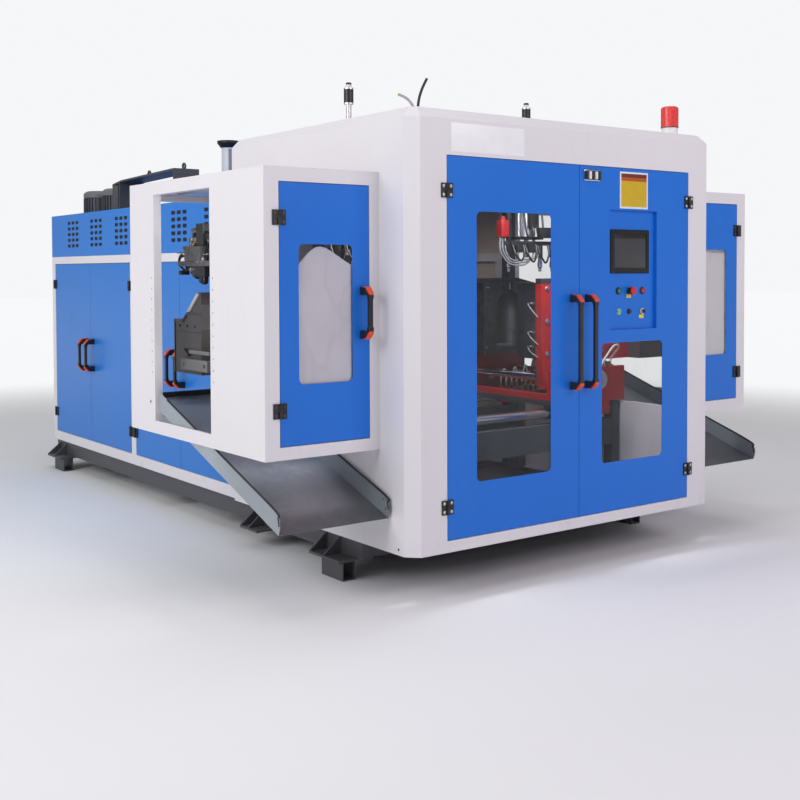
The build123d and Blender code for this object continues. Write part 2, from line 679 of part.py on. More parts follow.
# Cabinets: welded side frames, doors on the left, panels elsewhere
with BuildPart() as cabinet_frame:
    for side in (-1, 1):
        with BuildSketch(facing_side(side * CABINET_SIDE)):
            middle = (back((ENCLOSURE_DEPTH + MACHINE_LENGTH) / 2), (UNDERSIDE + PANEL_LOW) / 2)
            with Locations(middle):
                Rectangle(MACHINE_LENGTH - ENCLOSURE_DEPTH, PANEL_LOW - UNDERSIDE)
            for start, end in DOORWAYS:
                with Locations((back((start + end) / 2), (DOORWAY_LOW + DOORWAY_HIGH) / 2)):
                    Rectangle(end - start, DOORWAY_HIGH - DOORWAY_LOW, mode=Mode.SUBTRACT)
        extrude(amount=-side * WALL)
save(cabinet_frame, "cabinet_frame")

panels = []
for side in (-1, 1):
    with BuildPart() as vent_panel:
        block(span(side, CABINET_SIDE - DOOR_DEPTH, CABINET_SIDE), (back(ENCLOSURE_DEPTH), back(MACHINE_LENGTH)),
              (PANEL_LOW, CABINET_TOP))
        inner = faces().sort_by(Axis.X)[-1 if side < 0 else 0]
        offset(amount=-SKIN, openings=inner)
        if side < 0:
            for group in range(VENT_GROUPS):
                start = ENCLOSURE_DEPTH + VENT_INSET + group * VENT_GROUP_PITCH + SLOT_PITCH
                with BuildSketch(facing_side(-CABINET_SIDE)):
                    with Locations((back(start), SLOT_MIDDLE)):
                        with GridLocations(SLOT_PITCH, SLOT_ROW_PITCH, 3, 5):
                            SlotOverall(SLOT_LENGTH, SLOT_HEIGHT)
                extrude(amount=SKIN, mode=Mode.SUBTRACT)
    panels.append(vent_panel.part)
for start, end in DOORWAYS:
    with BuildPart() as fixed_panel:
        block(span(1, CABINET_SIDE - DOOR_DEPTH, CABINET_SIDE), grow((back(start), back(end)), -SLACK),
              grow((DOORWAY_LOW, DOORWAY_HIGH), -SLACK))
        offset(amount=-SKIN, openings=faces().sort_by(Axis.X)[0])
    panels.append(fixed_panel.part)
inside = CABINET_SIDE - WALL - SEAT
with BuildPart() as rear_panel:
    block((-inside, inside), (back(MACHINE_LENGTH - DOOR_DEPTH), back(MACHINE_LENGTH)),
          (UNDERSIDE, CABINET_TOP - DOOR_DEPTH - SEAT))
    offset(amount=-SKIN, openings=faces().sort_by(Axis.Y)[0])
panels.append(rear_panel.part)
roof_side = CABINET_SIDE - DOOR_DEPTH - SEAT
with BuildPart() as roof_panel:
    block((-roof_side, roof_side), (back(ENCLOSURE_DEPTH), back(MACHINE_LENGTH)),
          (CABINET_TOP - DOOR_DEPTH, CABINET_TOP))
    offset(amount=-SKIN, openings=faces().sort_by(Axis.Z)[0])
    shaft((0, back(HOPPER_PLACE), CABINET_TOP - DOOR_DEPTH), (0, 0, 1), HOPPER_RADIUS + 12, DOOR_DEPTH,
          mode=Mode.SUBTRACT)
panels.append(roof_panel.part)
with BuildPart() as cabinet_panels:
    for panel in panels:
        add(panel)
save(cabinet_panels, "cabinet_panels")

CABINET_DOORS = []
for start, end in DOORWAYS:
    split = (start + end) / 2
    CABINET_DOORS.append((start + DOOR_GAP, split - DOOR_GAP / 2, start, 1))
    CABINET_DOORS.append((split + DOOR_GAP / 2, end - DOOR_GAP, end, -1))
for number, (start, end, hinge, towards) in enumerate(CABINET_DOORS, start=1):
    with BuildPart() as cabinet_door:
        block((-CABINET_SIDE, -CABINET_SIDE + DOOR_DEPTH), (back(start), back(end)),
              (DOORWAY_LOW + DOOR_GAP, DOORWAY_HIGH - DOOR_GAP))
        offset(amount=-SKIN, openings=faces().sort_by(Axis.X)[-1])
        for place in hinge_places((-CABINET_SIDE, back(hinge)), (0, towards, 0), CABINET_HINGE_HEIGHTS):
            hinge_leaf(place, fixed=False)
        free_edge = end if towards > 0 else start
        handle_y = back(free_edge - towards * CABINET_HANDLE_SPREAD)
        pull_handle((-CABINET_SIDE, handle_y, CABINET_HANDLE_LOW), (-1, 0, 0), (0, 1, 0), CABINET_HANDLE_LENGTH)
    save(cabinet_door, f"cabinet_door_{number}")

# Fixed hinge leaves of every door, each with its pin
with BuildPart() as door_hinges:
    for side in (-1, 1):
        for place in hinge_places((side * HALF_OPENING, back(0)), (-side, 0, 0), FRONT_HINGE_HEIGHTS):
            hinge_leaf(place, fixed=True)
        wing_hinge = (side * (HALF + WING_DOOR_INNER + WING_DOOR_WIDTH), back(WING_SETBACK))
        for place in hinge_places(wing_hinge, (-side, 0, 0), WING_HINGE_HEIGHTS):
            hinge_leaf(place, fixed=True)
    for start, end, hinge, towards in CABINET_DOORS:
        for place in hinge_places((-CABINET_SIDE, back(hinge)), (0, towards, 0), CABINET_HINGE_HEIGHTS):
            hinge_leaf(place, fixed=True)
save(door_hinges, "door_hinges")

# Discharge chutes: folded sheet troughs under the wings, sloping down to the front
for side, name in ((-1, "left"), (1, "right")):
    chute_x = span(side, HALF + CHUTE_STANDOFF, WING_OUT - WING_SILL - CHUTE_CLEAR)
    lip = Plane(origin=(0, back(CHUTE_START), CHUTE_LOW), x_dir=(1, 0, 0), z_dir=(0, -1, 0))
    lip = lip.rotated((CHUTE_SLOPE, 0, 0))
    with BuildPart() as chute:
        with BuildSketch(lip):
            with Locations((sum(chute_x) / 2, CHUTE_FLANGE / 2)):
                Rectangle(chute_x[1] - chute_x[0], CHUTE_FLANGE)
        extrude(amount=-CHUTE_LENGTH)
        fillet(edges().filter_by(Axis.X).group_by(Axis.Y)[0].sort_by(Axis.Z)[-1], radius=CHUTE_CORNER)
        trough = [face for face in faces() if face.normal_at().Z > 0.2 or face.normal_at().Y < -0.5]
        offset(amount=-SKIN, openings=trough)
        block(
            span(side, WING_OUT - WALL - CHUTE_CLEAR, WING_OUT), (back(WING_SIDE_END - 12), back(ENCLOSURE_DEPTH)),
            (CHUTE_LOW, WING_HIGH), mode=Mode.SUBTRACT,
        )
        for distance, height in CHUTE_STANDOFFS:
            block(span(side, HALF + SEAT, HALF + CHUTE_STANDOFF), (back(distance), back(distance + 50)),
                  (height, height + 40))
        for distance, height in CHUTE_HOLES:
            shaft((side * (HALF + CHUTE_STANDOFF - 1), back(distance), height), (side, 0, 0), 5, SKIN + 2,
                  mode=Mode.SUBTRACT)
    save(chute, f"chute_{name}")

# Beacon on the right front of the roof
BEACON = (855, back(170))
with BuildPart() as beacon_base:
    shaft((*BEACON, ROOF), (0, 0, 1), 50, 12)
    shaft((*BEACON, ROOF), (0, 0, 1), 43, 50)
save(beacon_base, "beacon_base")
with BuildPart() as beacon_lens:
    shaft((*BEACON, ROOF + 50), (0, 0, 1), 46, 110)
    fillet(faces().sort_by(Axis.Z)[-1].edges(), radius=14)
save(beacon_lens, "beacon_lens")

# Two short cables that stick out of the roof
CABLE_RADIUS = 6
CABLE_ROUTES = {
    "roof_cable_left": [(-908, 92, -8), (-920, 92, 14), (-940, 91, 32), (-966, 90, 44), (-996, 88, 50)],
    "roof_cable_right": [(-890, 90, -8), (-888, 91, 24), (-878, 91, 60), (-862, 90, 98), (-842, 88, 132)],
}
for name, route in CABLE_ROUTES.items():
    points = [Vector(x, back(y), ROOF + z) for x, y, z in route]
    radii = []
    for before, corner, after in zip(points, points[1:], points[2:]):
        turn = (corner - before).get_angle(after - corner)
        run = min((corner - before).length, (after - corner).length)
        radii.append(0.45 * run / tan(radians(turn / 2)))
    with BuildPart() as roof_cable:
        with BuildLine():
            FilletPolyline(*points, radius=radii)
        with BuildSketch(Plane(origin=points[0], z_dir=points[1] - points[0])):
            Circle(CABLE_RADIUS)
        sweep()
        block((-HALF, 0), (back(0), back(200)), (ROOF - 40, ROOF), mode=Mode.SUBTRACT)
    save(roof_cable, name)

# Blow cylinder, bridge and guide sizes that several pieces share
GUIDES = (STATION - GUIDE_SPREAD, STATION + GUIDE_SPREAD)
BRIDGE_TOP = BRIDGE_LOW + BRIDGE_DEPTH
PIN_REST = MOULD_HIGH + PIN_CLEAR + PIN_STROKE
NEST_PLACE = 2 * STATION_PITCH
DEFLASH_Y = (STATION + DEFLASH_FRONT, STATION + DEFLASH_REAR)
DEFLASH_ROD_INSET = 40
# Two guide rods for each deflash head, on opposite corners, so that they stand clear of the take-out opening
DEFLASH_RODS = {
    side: (
        (side * (NEST_PLACE + DEFLASH_OUTER - DEFLASH_ROD_INSET), DEFLASH_Y[0] + DEFLASH_ROD_INSET),
        (side * (NEST_PLACE - DEFLASH_INNER + DEFLASH_ROD_INSET), DEFLASH_Y[1] - DEFLASH_ROD_INSET),
    )
    for side in (-1, 1)
}

# Station frame, bolted together: columns on the base beams, sills and guide bars for the carriages,
# and a bridge over them for the blow cylinders
COLUMN_INNER = BEAM_OUT - BEAM_WIDTH + 2
COLUMN_OUTER = BEAM_OUT - 2
BETWEEN_COLUMNS = (-COLUMN_INNER + SEAT, COLUMN_INNER - SEAT)
with BuildPart() as guide_bars:
    for guide in GUIDES:
        shaft((-HALF + WALL + 2, guide, GUIDE_HEIGHT), (1, 0, 0), GUIDE_RADIUS, 2 * (HALF - WALL - 2))
with BuildPart() as station_frame:
    column_foot = UNDERSIDE + FLOOR_FLANGE
    for side in (-1, 1):
        column = span(side, COLUMN_INNER, COLUMN_OUTER)
        for guide in GUIDES:
            block(column, grow((guide, guide), GUIDE_COLUMN_WIDTH / 2), (column_foot, GUIDE_HEIGHT + GUIDE_COLUMN_RISE))
            shaft((side * HALF, guide, GUIDE_HEIGHT), (-side, 0, 0), GUIDE_RADIUS + SLACK, HALF - COLUMN_INNER + 10,
                  mode=Mode.SUBTRACT)
        for distance in COLUMN_PLACES:
            block(column, (back(distance), back(distance + COLUMN_WIDTH)), (column_foot, BRIDGE_LOW - SEAT))
        long_beam = (back(COLUMN_PLACES[0]), back(COLUMN_PLACES[1] + COLUMN_WIDTH))
        block(column, long_beam, (BRIDGE_LOW, BRIDGE_TOP))
    for guide in GUIDES:
        block(BETWEEN_COLUMNS, grow((guide, guide), SILL_WIDTH / 2), SILL_BEAM)
    for offset_y in (-BRIDGE_SPREAD, BRIDGE_SPREAD):
        beam_middle = STATION + offset_y
        block(BETWEEN_COLUMNS, grow((beam_middle, beam_middle), BRIDGE_WIDTH / 2), (BRIDGE_LOW, BRIDGE_TOP))
    add(guide_bars.part)
save(station_frame, "station_frame")

# Blow cylinders: flanged barrels under the bridge, bored for the blow pins and their guide rods.
# Deflash cylinders: a ram and two bushes on each side, hung from the wing roof.
hanger_top = WING_HIGH - WALL - SEAT
deflash_mounts = []
for side in (-1, 1):
    with BuildPart() as deflash_mount:
        head_x = span(side, NEST_PLACE - DEFLASH_INNER, NEST_PLACE + DEFLASH_OUTER)
        block(head_x, DEFLASH_Y, (hanger_top - HANGER_SHEET, hanger_top))
        bush_low = DEFLASH_PLATE + 110
        for x, y in DEFLASH_RODS[side]:
            shaft((x, y, bush_low), (0, 0, 1), BUSH_RADIUS, hanger_top - SEAT - bush_low)
            shaft((x, y, DEFLASH_PLATE), (0, 0, 1), GUIDE_ROD_RADIUS + RUNNING, hanger_top - DEFLASH_PLATE + 10,
                  mode=Mode.SUBTRACT)
        ram = (sum(head_x) / 2, sum(DEFLASH_Y) / 2)
        ram_low = DEFLASH_PLATE + 130
        shaft((*ram, ram_low), (0, 0, 1), RAM_BODY_RADIUS, hanger_top - SEAT - ram_low)
        shaft((*ram, DEFLASH_PLATE), (0, 0, 1), DEFLASH_RAM_RADIUS + RUNNING, DEFLASH_RAM_LENGTH + 20,
              mode=Mode.SUBTRACT)
    deflash_mounts.append(deflash_mount.part)
with BuildPart() as station_cylinders:
    for side in (-1, 1):
        centre_x = side * STATION_PITCH
        plate_x = grow((centre_x, centre_x), 90)
        block(plate_x, grow((STATION, STATION), 110), (BRIDGE_LOW - 20, BRIDGE_LOW))
        shaft((centre_x, STATION, CYLINDER_LOW), (0, 0, 1), CYLINDER_RADIUS, BRIDGE_LOW - CYLINDER_LOW)
        block(plate_x, grow((STATION, STATION), 50), (CYLINDER_LOW - 16, CYLINDER_LOW))
        bore_low = CYLINDER_LOW - 20
        shaft((centre_x, STATION, bore_low), (0, 0, 1), BLOW_ROD_RADIUS + RUNNING, BLOW_BORE, mode=Mode.SUBTRACT)
        for rod in (-1, 1):
            shaft((centre_x + rod * GUIDE_ROD_SPREAD, STATION, bore_low), (0, 0, 1), GUIDE_ROD_RADIUS + RUNNING,
                  BLOW_BORE, mode=Mode.SUBTRACT)
    for mount in deflash_mounts:
        add(mount)
save(station_cylinders, "station_cylinders")

for side, name in ((-1, "left"), (1, "right")):
    centre_x = side * STATION_PITCH
    with BuildPart() as blow_pin:
        shaft((centre_x, STATION, PIN_REST + 40), (0, 0, 1), BLOW_ROD_RADIUS, BLOW_ROD_TOP - PIN_REST - 40)
        shaft((centre_x, STATION, PIN_REST), (0, 0, 1), MANDREL_RADIUS, 45)
        chamfer(faces().sort_by(Axis.Z)[0].edges(), length=6)
        block(grow((centre_x, centre_x), 75), grow((STATION, STATION), 25), (PIN_REST + 40, PIN_REST + 66))
        for rod in (-1, 1):
            shaft((centre_x + rod * GUIDE_ROD_SPREAD, STATION, PIN_REST + 50), (0, 0, 1), GUIDE_ROD_RADIUS, GUIDE_ROD_LENGTH)
        shaft((centre_x, STATION, BLOW_ROD_TOP), (0, 0, 1), 25, 85)
        shaft((centre_x, STATION, BLOW_ROD_TOP + 85), (0, 0, 1), 15, 28)
        fillet(faces().sort_by(Axis.Z)[-1].edges(), radius=6)
    save(blow_pin, f"blow_pin_{name}")

# Deflash heads in the wings: a plate on four guide rods, with jaws below and valves on top
for side, name in ((-1, "left"), (1, "right")):
    centre_x = side * NEST_PLACE
    head_x = span(side, NEST_PLACE - DEFLASH_INNER, NEST_PLACE + DEFLASH_OUTER)
    with BuildPart() as deflash_head:
        block(head_x, DEFLASH_Y, (DEFLASH_PLATE, DEFLASH_PLATE + 26))
        for x, y in DEFLASH_RODS[side]:
            shaft((x, y, DEFLASH_PLATE), (0, 0, 1), GUIDE_ROD_RADIUS, DEFLASH_ROD_LENGTH)
        shaft((sum(head_x) / 2, sum(DEFLASH_Y) / 2, DEFLASH_PLATE), (0, 0, 1), DEFLASH_RAM_RADIUS, DEFLASH_RAM_LENGTH)
        for jaw_y in (STATION - 60, STATION + 60):
            block(grow((centre_x, centre_x), 70), grow((jaw_y, jaw_y), 22), (DEFLASH_LOW, DEFLASH_PLATE))
        block(grow((centre_x, centre_x), 45), grow((STATION, STATION), 30), (DEFLASH_LOW + 20, DEFLASH_PLATE))
        manifold_x = span(side, NEST_PLACE + DEFLASH_OUTER - 52, NEST_PLACE + DEFLASH_OUTER + 12)
        block(manifold_x, (STATION + 60, STATION + 230), (DEFLASH_PLATE + 26, DEFLASH_PLATE + 96))
        for step in range(4):
            valve_y = STATION + 82 + step * 42
            valve_x = side * (NEST_PLACE + DEFLASH_OUTER - 20)
            shaft((valve_x, valve_y, DEFLASH_PLATE + 90), (0, 0, 1), 15, 50)
    save(deflash_head, f"deflash_head_{name}")

# Carriages: welded frames on bushes, with tie bars that guide the clamp platens
for side, name in ((-1, "left"), (1, "right")):
    middle = side * STATION_PITCH
    reach_x = span(side, STATION_PITCH - CARRIAGE_INNER, STATION_PITCH + CARRIAGE_OUTER)
    ties = (middle - TIE_SPREAD, middle + TIE_SPREAD)
    with BuildPart() as carriage:
        for way in (-1, 1):
            end_y = tuple(sorted((STATION + way * (CARRIAGE_REACH - CARRIAGE_SHEET), STATION + way * CARRIAGE_REACH)))
            block(reach_x, end_y, (CARRIAGE_LOW, CARRIAGE_HIGH))
            guide = STATION + way * GUIDE_SPREAD
            for bush in (-CARRIAGE_INNER + 70, CARRIAGE_OUTER - 170):
                bush_x = middle + side * bush
                block(grow((bush_x, bush_x), 50), grow((guide, guide), 40),
                      (GUIDE_HEIGHT - 33, CARRIAGE_LOW + 20))
        for rail in (reach_x[0], reach_x[1] - 60):
            block((rail, rail + 60), (STATION - CARRIAGE_REACH + 4, STATION + CARRIAGE_REACH - 4),
                  (CARRIAGE_LOW, CARRIAGE_LOW + 60))
        for guide in GUIDES:
            shaft((reach_x[0] - 5, guide, GUIDE_HEIGHT), (1, 0, 0), GUIDE_RADIUS + RUNNING,
                  reach_x[1] - reach_x[0] + 10, mode=Mode.SUBTRACT)
        for tie in ties:
            shaft((tie, STATION - CARRIAGE_REACH, TIE_HEIGHT), (0, 1, 0), TIE_RADIUS, 2 * CARRIAGE_REACH)
        for way in (-1, 1):
            start_y = STATION + way * (CARRIAGE_REACH - CARRIAGE_SHEET)
            outer_y = STATION + way * CARRIAGE_REACH
            shaft((middle, outer_y, TIE_HEIGHT), (0, way, 0), CLAMP_RADIUS, CLAMP_BODY)
            shaft((middle, start_y - way, TIE_HEIGHT), (0, way, 0), ROD_RADIUS + RUNNING,
                  CARRIAGE_SHEET + CLAMP_BODY - 10, mode=Mode.SUBTRACT)
    save(carriage, f"carriage_{name}")

# Clamp platens, with the take-out nests on their outer ends, and the mould halves on their inner ends
for side, side_name in ((-1, "left"), (1, "right")):
    middle = side * STATION_PITCH
    for way, way_name in ((-1, "front"), (1, "rear")):
        cavity_face = STATION + way * OPEN_HALF_GAP
        mould_back = cavity_face + way * MOULD_THICKNESS
        platen_y = tuple(sorted((mould_back + way * SEAT, mould_back + way * (SEAT + PLATEN_SHEET))))
        platen_back = platen_y[1] if way > 0 else platen_y[0]
        with BuildPart() as platen:
            with BuildSketch(facing_front(platen_y[1])):
                with BuildLine():
                    Polyline(
                        (middle - side * PLATEN_INNER, PLATEN_STEP), (middle - side * PLATEN_INNER, PLATEN_HIGH),
                        (middle + side * 215, PLATEN_HIGH), (middle + side * PLATEN_OUTER, NEST_HIGH),
                        (middle + side * PLATEN_OUTER, NEST_LOW), (middle + side * 215, NEST_LOW),
                        (middle + side * 195, PLATEN_LOW), (middle - side * 195, PLATEN_LOW), close=True,
                    )
                make_face()
            extrude(amount=PLATEN_SHEET)
            for tie in (-TIE_SPREAD, TIE_SPREAD):
                shaft((middle + tie, back(0), TIE_HEIGHT), (0, 1, 0), TIE_RADIUS + RUNNING, MACHINE_LENGTH,
                      mode=Mode.SUBTRACT)
            shaft((middle, platen_back, TIE_HEIGHT), (0, way, 0), ROD_RADIUS, CLAMP_ROD)
            nest_x = span(side, STATION_PITCH + PLATEN_OUTER, NEST_END)
            with BuildSketch(facing_side(nest_x[0])):
                with BuildLine():
                    Polyline(
                        (cavity_face, NEST_LOW), (cavity_face, NEST_HIGH),
                        (cavity_face + way * NEST_SLOPE_TOP, NEST_HIGH),
                        (cavity_face + way * NEST_SLOPE_END, NEST_STEP + NEST_SHOULDER),
                        (cavity_face + way * NEST_RAMP_END, NEST_STEP),
                        (cavity_face + way * NEST_REACH, NEST_STEP), (cavity_face + way * NEST_REACH, NEST_LOW),
                        close=True,
                    )
                make_face()
            extrude(amount=nest_x[1] - nest_x[0])
            pocket_x = side * NEST_PLACE
            shaft((pocket_x, cavity_face, NEST_LOW + 20), (0, 0, 1), BOTTLE_RADIUS + 3, 215, mode=Mode.SUBTRACT)
            shaft((pocket_x, cavity_face, NEST_LOW + 230), (0, 0, 1), NECK_RADIUS + 16, 300, mode=Mode.SUBTRACT)
        save(platen, f"platen_{way_name}_{side_name}")

        with BuildPart() as mould:
            block(grow((middle, middle), MOULD_WIDTH / 2), tuple(sorted((cavity_face, mould_back))),
                  (MOULD_LOW, MOULD_HIGH))
            chamfer(edges().filter_by(Axis.Z).group_by(Axis.Y)[-1 if way > 0 else 0], length=12)
            with BuildSketch(Plane(origin=(middle, cavity_face, 0), x_dir=(1, 0, 0), z_dir=(0, -1, 0))):
                with BuildLine():
                    Polyline(
                        (0, MOULD_LOW + 40), (BOTTLE_RADIUS - 12, MOULD_LOW + 40), (BOTTLE_RADIUS, MOULD_LOW + 52),
                        (BOTTLE_RADIUS, MOULD_LOW + 245),
                    )
                    ThreePointArc(
                        (BOTTLE_RADIUS, MOULD_LOW + 245), (BOTTLE_RADIUS - 16, MOULD_LOW + 313),
                        (NECK_RADIUS + 8, MOULD_HIGH - 55),
                    )
                    Polyline(
                        (NECK_RADIUS + 8, MOULD_HIGH - 55), (NECK_RADIUS, MOULD_HIGH - 45), (NECK_RADIUS, MOULD_HIGH),
                        (0, MOULD_HIGH), (0, MOULD_LOW + 40),
                    )
                make_face()
            revolve(axis=Axis((middle, cavity_face, 0), (0, 0, 1)), revolution_arc=360, mode=Mode.SUBTRACT)
            for pin_x in (-170, 170):
                for pin_z in (MOULD_LOW + 35, MOULD_HIGH - 35):
                    if way > 0:
                        shaft((middle + pin_x, cavity_face, pin_z), (0, -1, 0), 9, 22)
                    else:
                        shaft((middle + pin_x, cavity_face, pin_z), (0, -1, 0), 9 + SLACK, 30, mode=Mode.SUBTRACT)
        save(mould, f"mould_{way_name}_{side_name}")

# Die head over the middle station
with BuildPart() as die_head:
    shaft((0, STATION, DIE_LOW), (0, 0, 1), 42, 40)
    shaft((0, STATION, DIE_LOW + 30), (0, 0, 1), 62, 70)
    shaft((0, STATION, DIE_LOW + 90), (0, 0, 1), 75, EXTRUDER_HEIGHT + 75 - DIE_LOW - 90)
    shaft((0, STATION, EXTRUDER_HEIGHT), (0, 1, 0), 55, back(BARREL_START) - STATION - 22)
    shaft((0, back(BARREL_START) - 22, EXTRUDER_HEIGHT), (0, 1, 0), 88, 22 - SEAT)
    shaft((0, STATION, DIE_LOW - 1), (0, 0, 1), 14, 120, mode=Mode.SUBTRACT)
save(die_head, "die_head")

# Extruder: barrel with heater bands, screw, feed hopper and drive
BARREL_FLANGE_RADIUS = 88
with BuildPart() as barrel_tube:
    shaft((0, back(BARREL_START), EXTRUDER_HEIGHT), (0, 1, 0), BARREL_RADIUS, BARREL_END - BARREL_START)
    shaft((0, back(BARREL_START), EXTRUDER_HEIGHT), (0, 1, 0), BARREL_FLANGE_RADIUS, 24)
    shaft((0, back(BARREL_START) - 1, EXTRUDER_HEIGHT), (0, 1, 0), SCREW_RADIUS + RUNNING,
          BARREL_END - BARREL_START + 2, mode=Mode.SUBTRACT)
    shaft((0, back(HOPPER_PLACE), EXTRUDER_HEIGHT), (0, 0, 1), 25, BARREL_RADIUS + 5, mode=Mode.SUBTRACT)
with BuildPart() as heater_bands:
    for step in range(BAND_COUNT):
        start = BAND_START + step * BAND_PITCH
        shaft((0, back(start), EXTRUDER_HEIGHT), (0, 1, 0), BAND_RADIUS, BAND_LENGTH)
        shaft((0, back(start) - 1, EXTRUDER_HEIGHT), (0, 1, 0), BARREL_RADIUS + SEAT, BAND_LENGTH + 2,
              mode=Mode.SUBTRACT)
with BuildPart() as barrel_stand:
    place = back(BARREL_STAND)
    block((-60, 60), grow((place, place), STAND_SHEET / 2), (STAND_FOOT, EXTRUDER_HEIGHT))
    block((-90, 90), grow((place, place), 35), (STAND_FOOT, STAND_FOOT + 15))
    shaft((0, back(BARREL_START), EXTRUDER_HEIGHT), (0, 1, 0), BARREL_RADIUS + SEAT, BARREL_END - BARREL_START,
          mode=Mode.SUBTRACT)
with BuildPart() as extruder_barrel:
    add(barrel_tube.part)
    add(heater_bands.part)
    add(barrel_stand.part)
save(extruder_barrel, "extruder_barrel")

with BuildPart() as extruder_screw:
    shaft((0, back(BARREL_START + 30), EXTRUDER_HEIGHT), (0, 1, 0), SCREW_RADIUS, BARREL_END - BARREL_START - 40)
    chamfer(faces().sort_by(Axis.Y)[0].edges(), length=18)
    shaft((0, back(BARREL_END - 12), EXTRUDER_HEIGHT), (0, 1, 0), SCREW_RADIUS - 9, 52)
save(extruder_screw, "extruder_screw")

with BuildPart() as feed_hopper:
    throat_top = EXTRUDER_HEIGHT + BARREL_RADIUS + 20
    block((-75, 75), grow((back(HOPPER_PLACE), back(HOPPER_PLACE)), 60), (EXTRUDER_HEIGHT + 20, throat_top))
    shaft((0, back(HOPPER_PLACE) - 80, EXTRUDER_HEIGHT), (0, 1, 0), BARREL_RADIUS + SEAT, 160, mode=Mode.SUBTRACT)
    shaft((0, back(HOPPER_PLACE), throat_top - 5), (0, 0, 1), HOPPER_RADIUS, HOPPER_TOP - 50 - throat_top + 5)
    with BuildSketch(Plane.XY.offset(HOPPER_TOP - 50)):
        with Locations((0, back(HOPPER_PLACE))):
            Circle(HOPPER_RADIUS + 6)
    with BuildSketch(Plane.XY.offset(HOPPER_TOP - 18)):
        with Locations((0, back(HOPPER_PLACE))):
            Circle(HOPPER_CAP_RADIUS)
    loft()
    shaft((0, back(HOPPER_PLACE), HOPPER_TOP - 18), (0, 0, 1), HOPPER_CAP_RADIUS, 18)
    shaft((0, back(HOPPER_PLACE), EXTRUDER_HEIGHT), (0, 0, 1), HOPPER_RADIUS - 6, HOPPER_TOP - 60 - EXTRUDER_HEIGHT,
          mode=Mode.SUBTRACT)
save(feed_hopper, "feed_hopper")

with BuildPart() as extruder_drive:
    gear_y = (back(BARREL_END) + SEAT, back(BARREL_END + GEAR_LENGTH))
    block((-150, 150), gear_y, (EXTRUDER_HEIGHT - 260, EXTRUDER_HEIGHT + 80))
    fillet(edges().filter_by(Axis.Y), radius=20)
    shaft((0, gear_y[0] - 1, EXTRUDER_HEIGHT), (0, 1, 0), SCREW_RADIUS - 9 + RUNNING, 60, mode=Mode.SUBTRACT)
    shaft((0, gear_y[1] - 1, EXTRUDER_HEIGHT - 130), (0, 1, 0), 115, 380)
    block((-170, 170), gear_y, (STAND_FOOT, STAND_FOOT + 20))
    block((-110, 110), (gear_y[0] + 30, gear_y[1] - 30), (STAND_FOOT + 15, EXTRUDER_HEIGHT - 250))
save(extruder_drive, "extruder_drive")

# Hydraulic unit: tank in the cabinet on a cross member
with BuildPart() as hydraulic_tank:
    block(TANK_X, (back(TANK_PLACE[0]), back(TANK_PLACE[1])), (STAND_FOOT, TANK_TOP))
    fillet(edges().filter_by(Axis.Z), radius=15)
    for distance in (TANK_PLACE[0] + 110, TANK_PLACE[1] - 110):
        shaft((sum(TANK_X) / 2, back(distance), TANK_TOP - 2), (0, 0, 1), 70, 30)
        shaft((sum(TANK_X) / 2, back(distance), TANK_TOP), (0, 0, 1), 55, 320)
save(hydraulic_tank, "hydraulic_tank")

# On the rear roof: two upright motors, a junction box and a bridge plate with lifting eyes
with BuildPart() as roof_equipment:
    for inset, radius, top in ROOF_MOTORS:
        shaft((ROOF_ITEMS_X, back(MACHINE_LENGTH - inset), CABINET_TOP), (0, 0, 1), radius, top - CABINET_TOP)
    fillet(faces().group_by(Axis.Z)[-1].edges(), radius=14)
    box_start, box_end = (back(MACHINE_LENGTH - inset) for inset in JUNCTION_BOX)
    block(grow((ROOF_ITEMS_X, ROOF_ITEMS_X), 90), (box_start, box_end), (CABINET_TOP, ROOF_BRIDGE[0][1] - 12))
    top = [(back(MACHINE_LENGTH - inset), height) for inset, height in ROOF_BRIDGE]
    leg = box_start - 28
    with BuildSketch(facing_side(ROOF_ITEMS_X - 90)):
        with BuildLine():
            Polyline(
                top[0], top[1], top[2], (top[2][0], CABINET_TOP), (top[2][0] + 12, CABINET_TOP),
                (top[2][0] + 12, top[2][1] - 12), (top[1][0], top[1][1] - 12), (leg, top[1][1] - 16),
                (leg, CABINET_TOP), (leg + 12, CABINET_TOP), (leg + 12, top[1][1] - 17.5),
                (top[0][0], top[0][1] - 12), close=True,
            )
        make_face()
    extrude(amount=180)
    for inset, height in LIFTING_EYES:
        with Locations(Location((ROOF_ITEMS_X, back(MACHINE_LENGTH - inset), height), (0, 90, 0))):
            Torus(18, 7)
save(roof_equipment, "roof_equipment")
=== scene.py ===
"""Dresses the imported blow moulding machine: finishes, small hardware, hoses, papers, camera and studio."""

from __future__ import annotations

import json
import logging
import math
from dataclasses import dataclass
from enum import Enum
from fnmatch import fnmatchcase
from typing import Callable, Iterable, Protocol, Sequence, Union

import bmesh
import bpy
from mathutils import Matrix, Vector

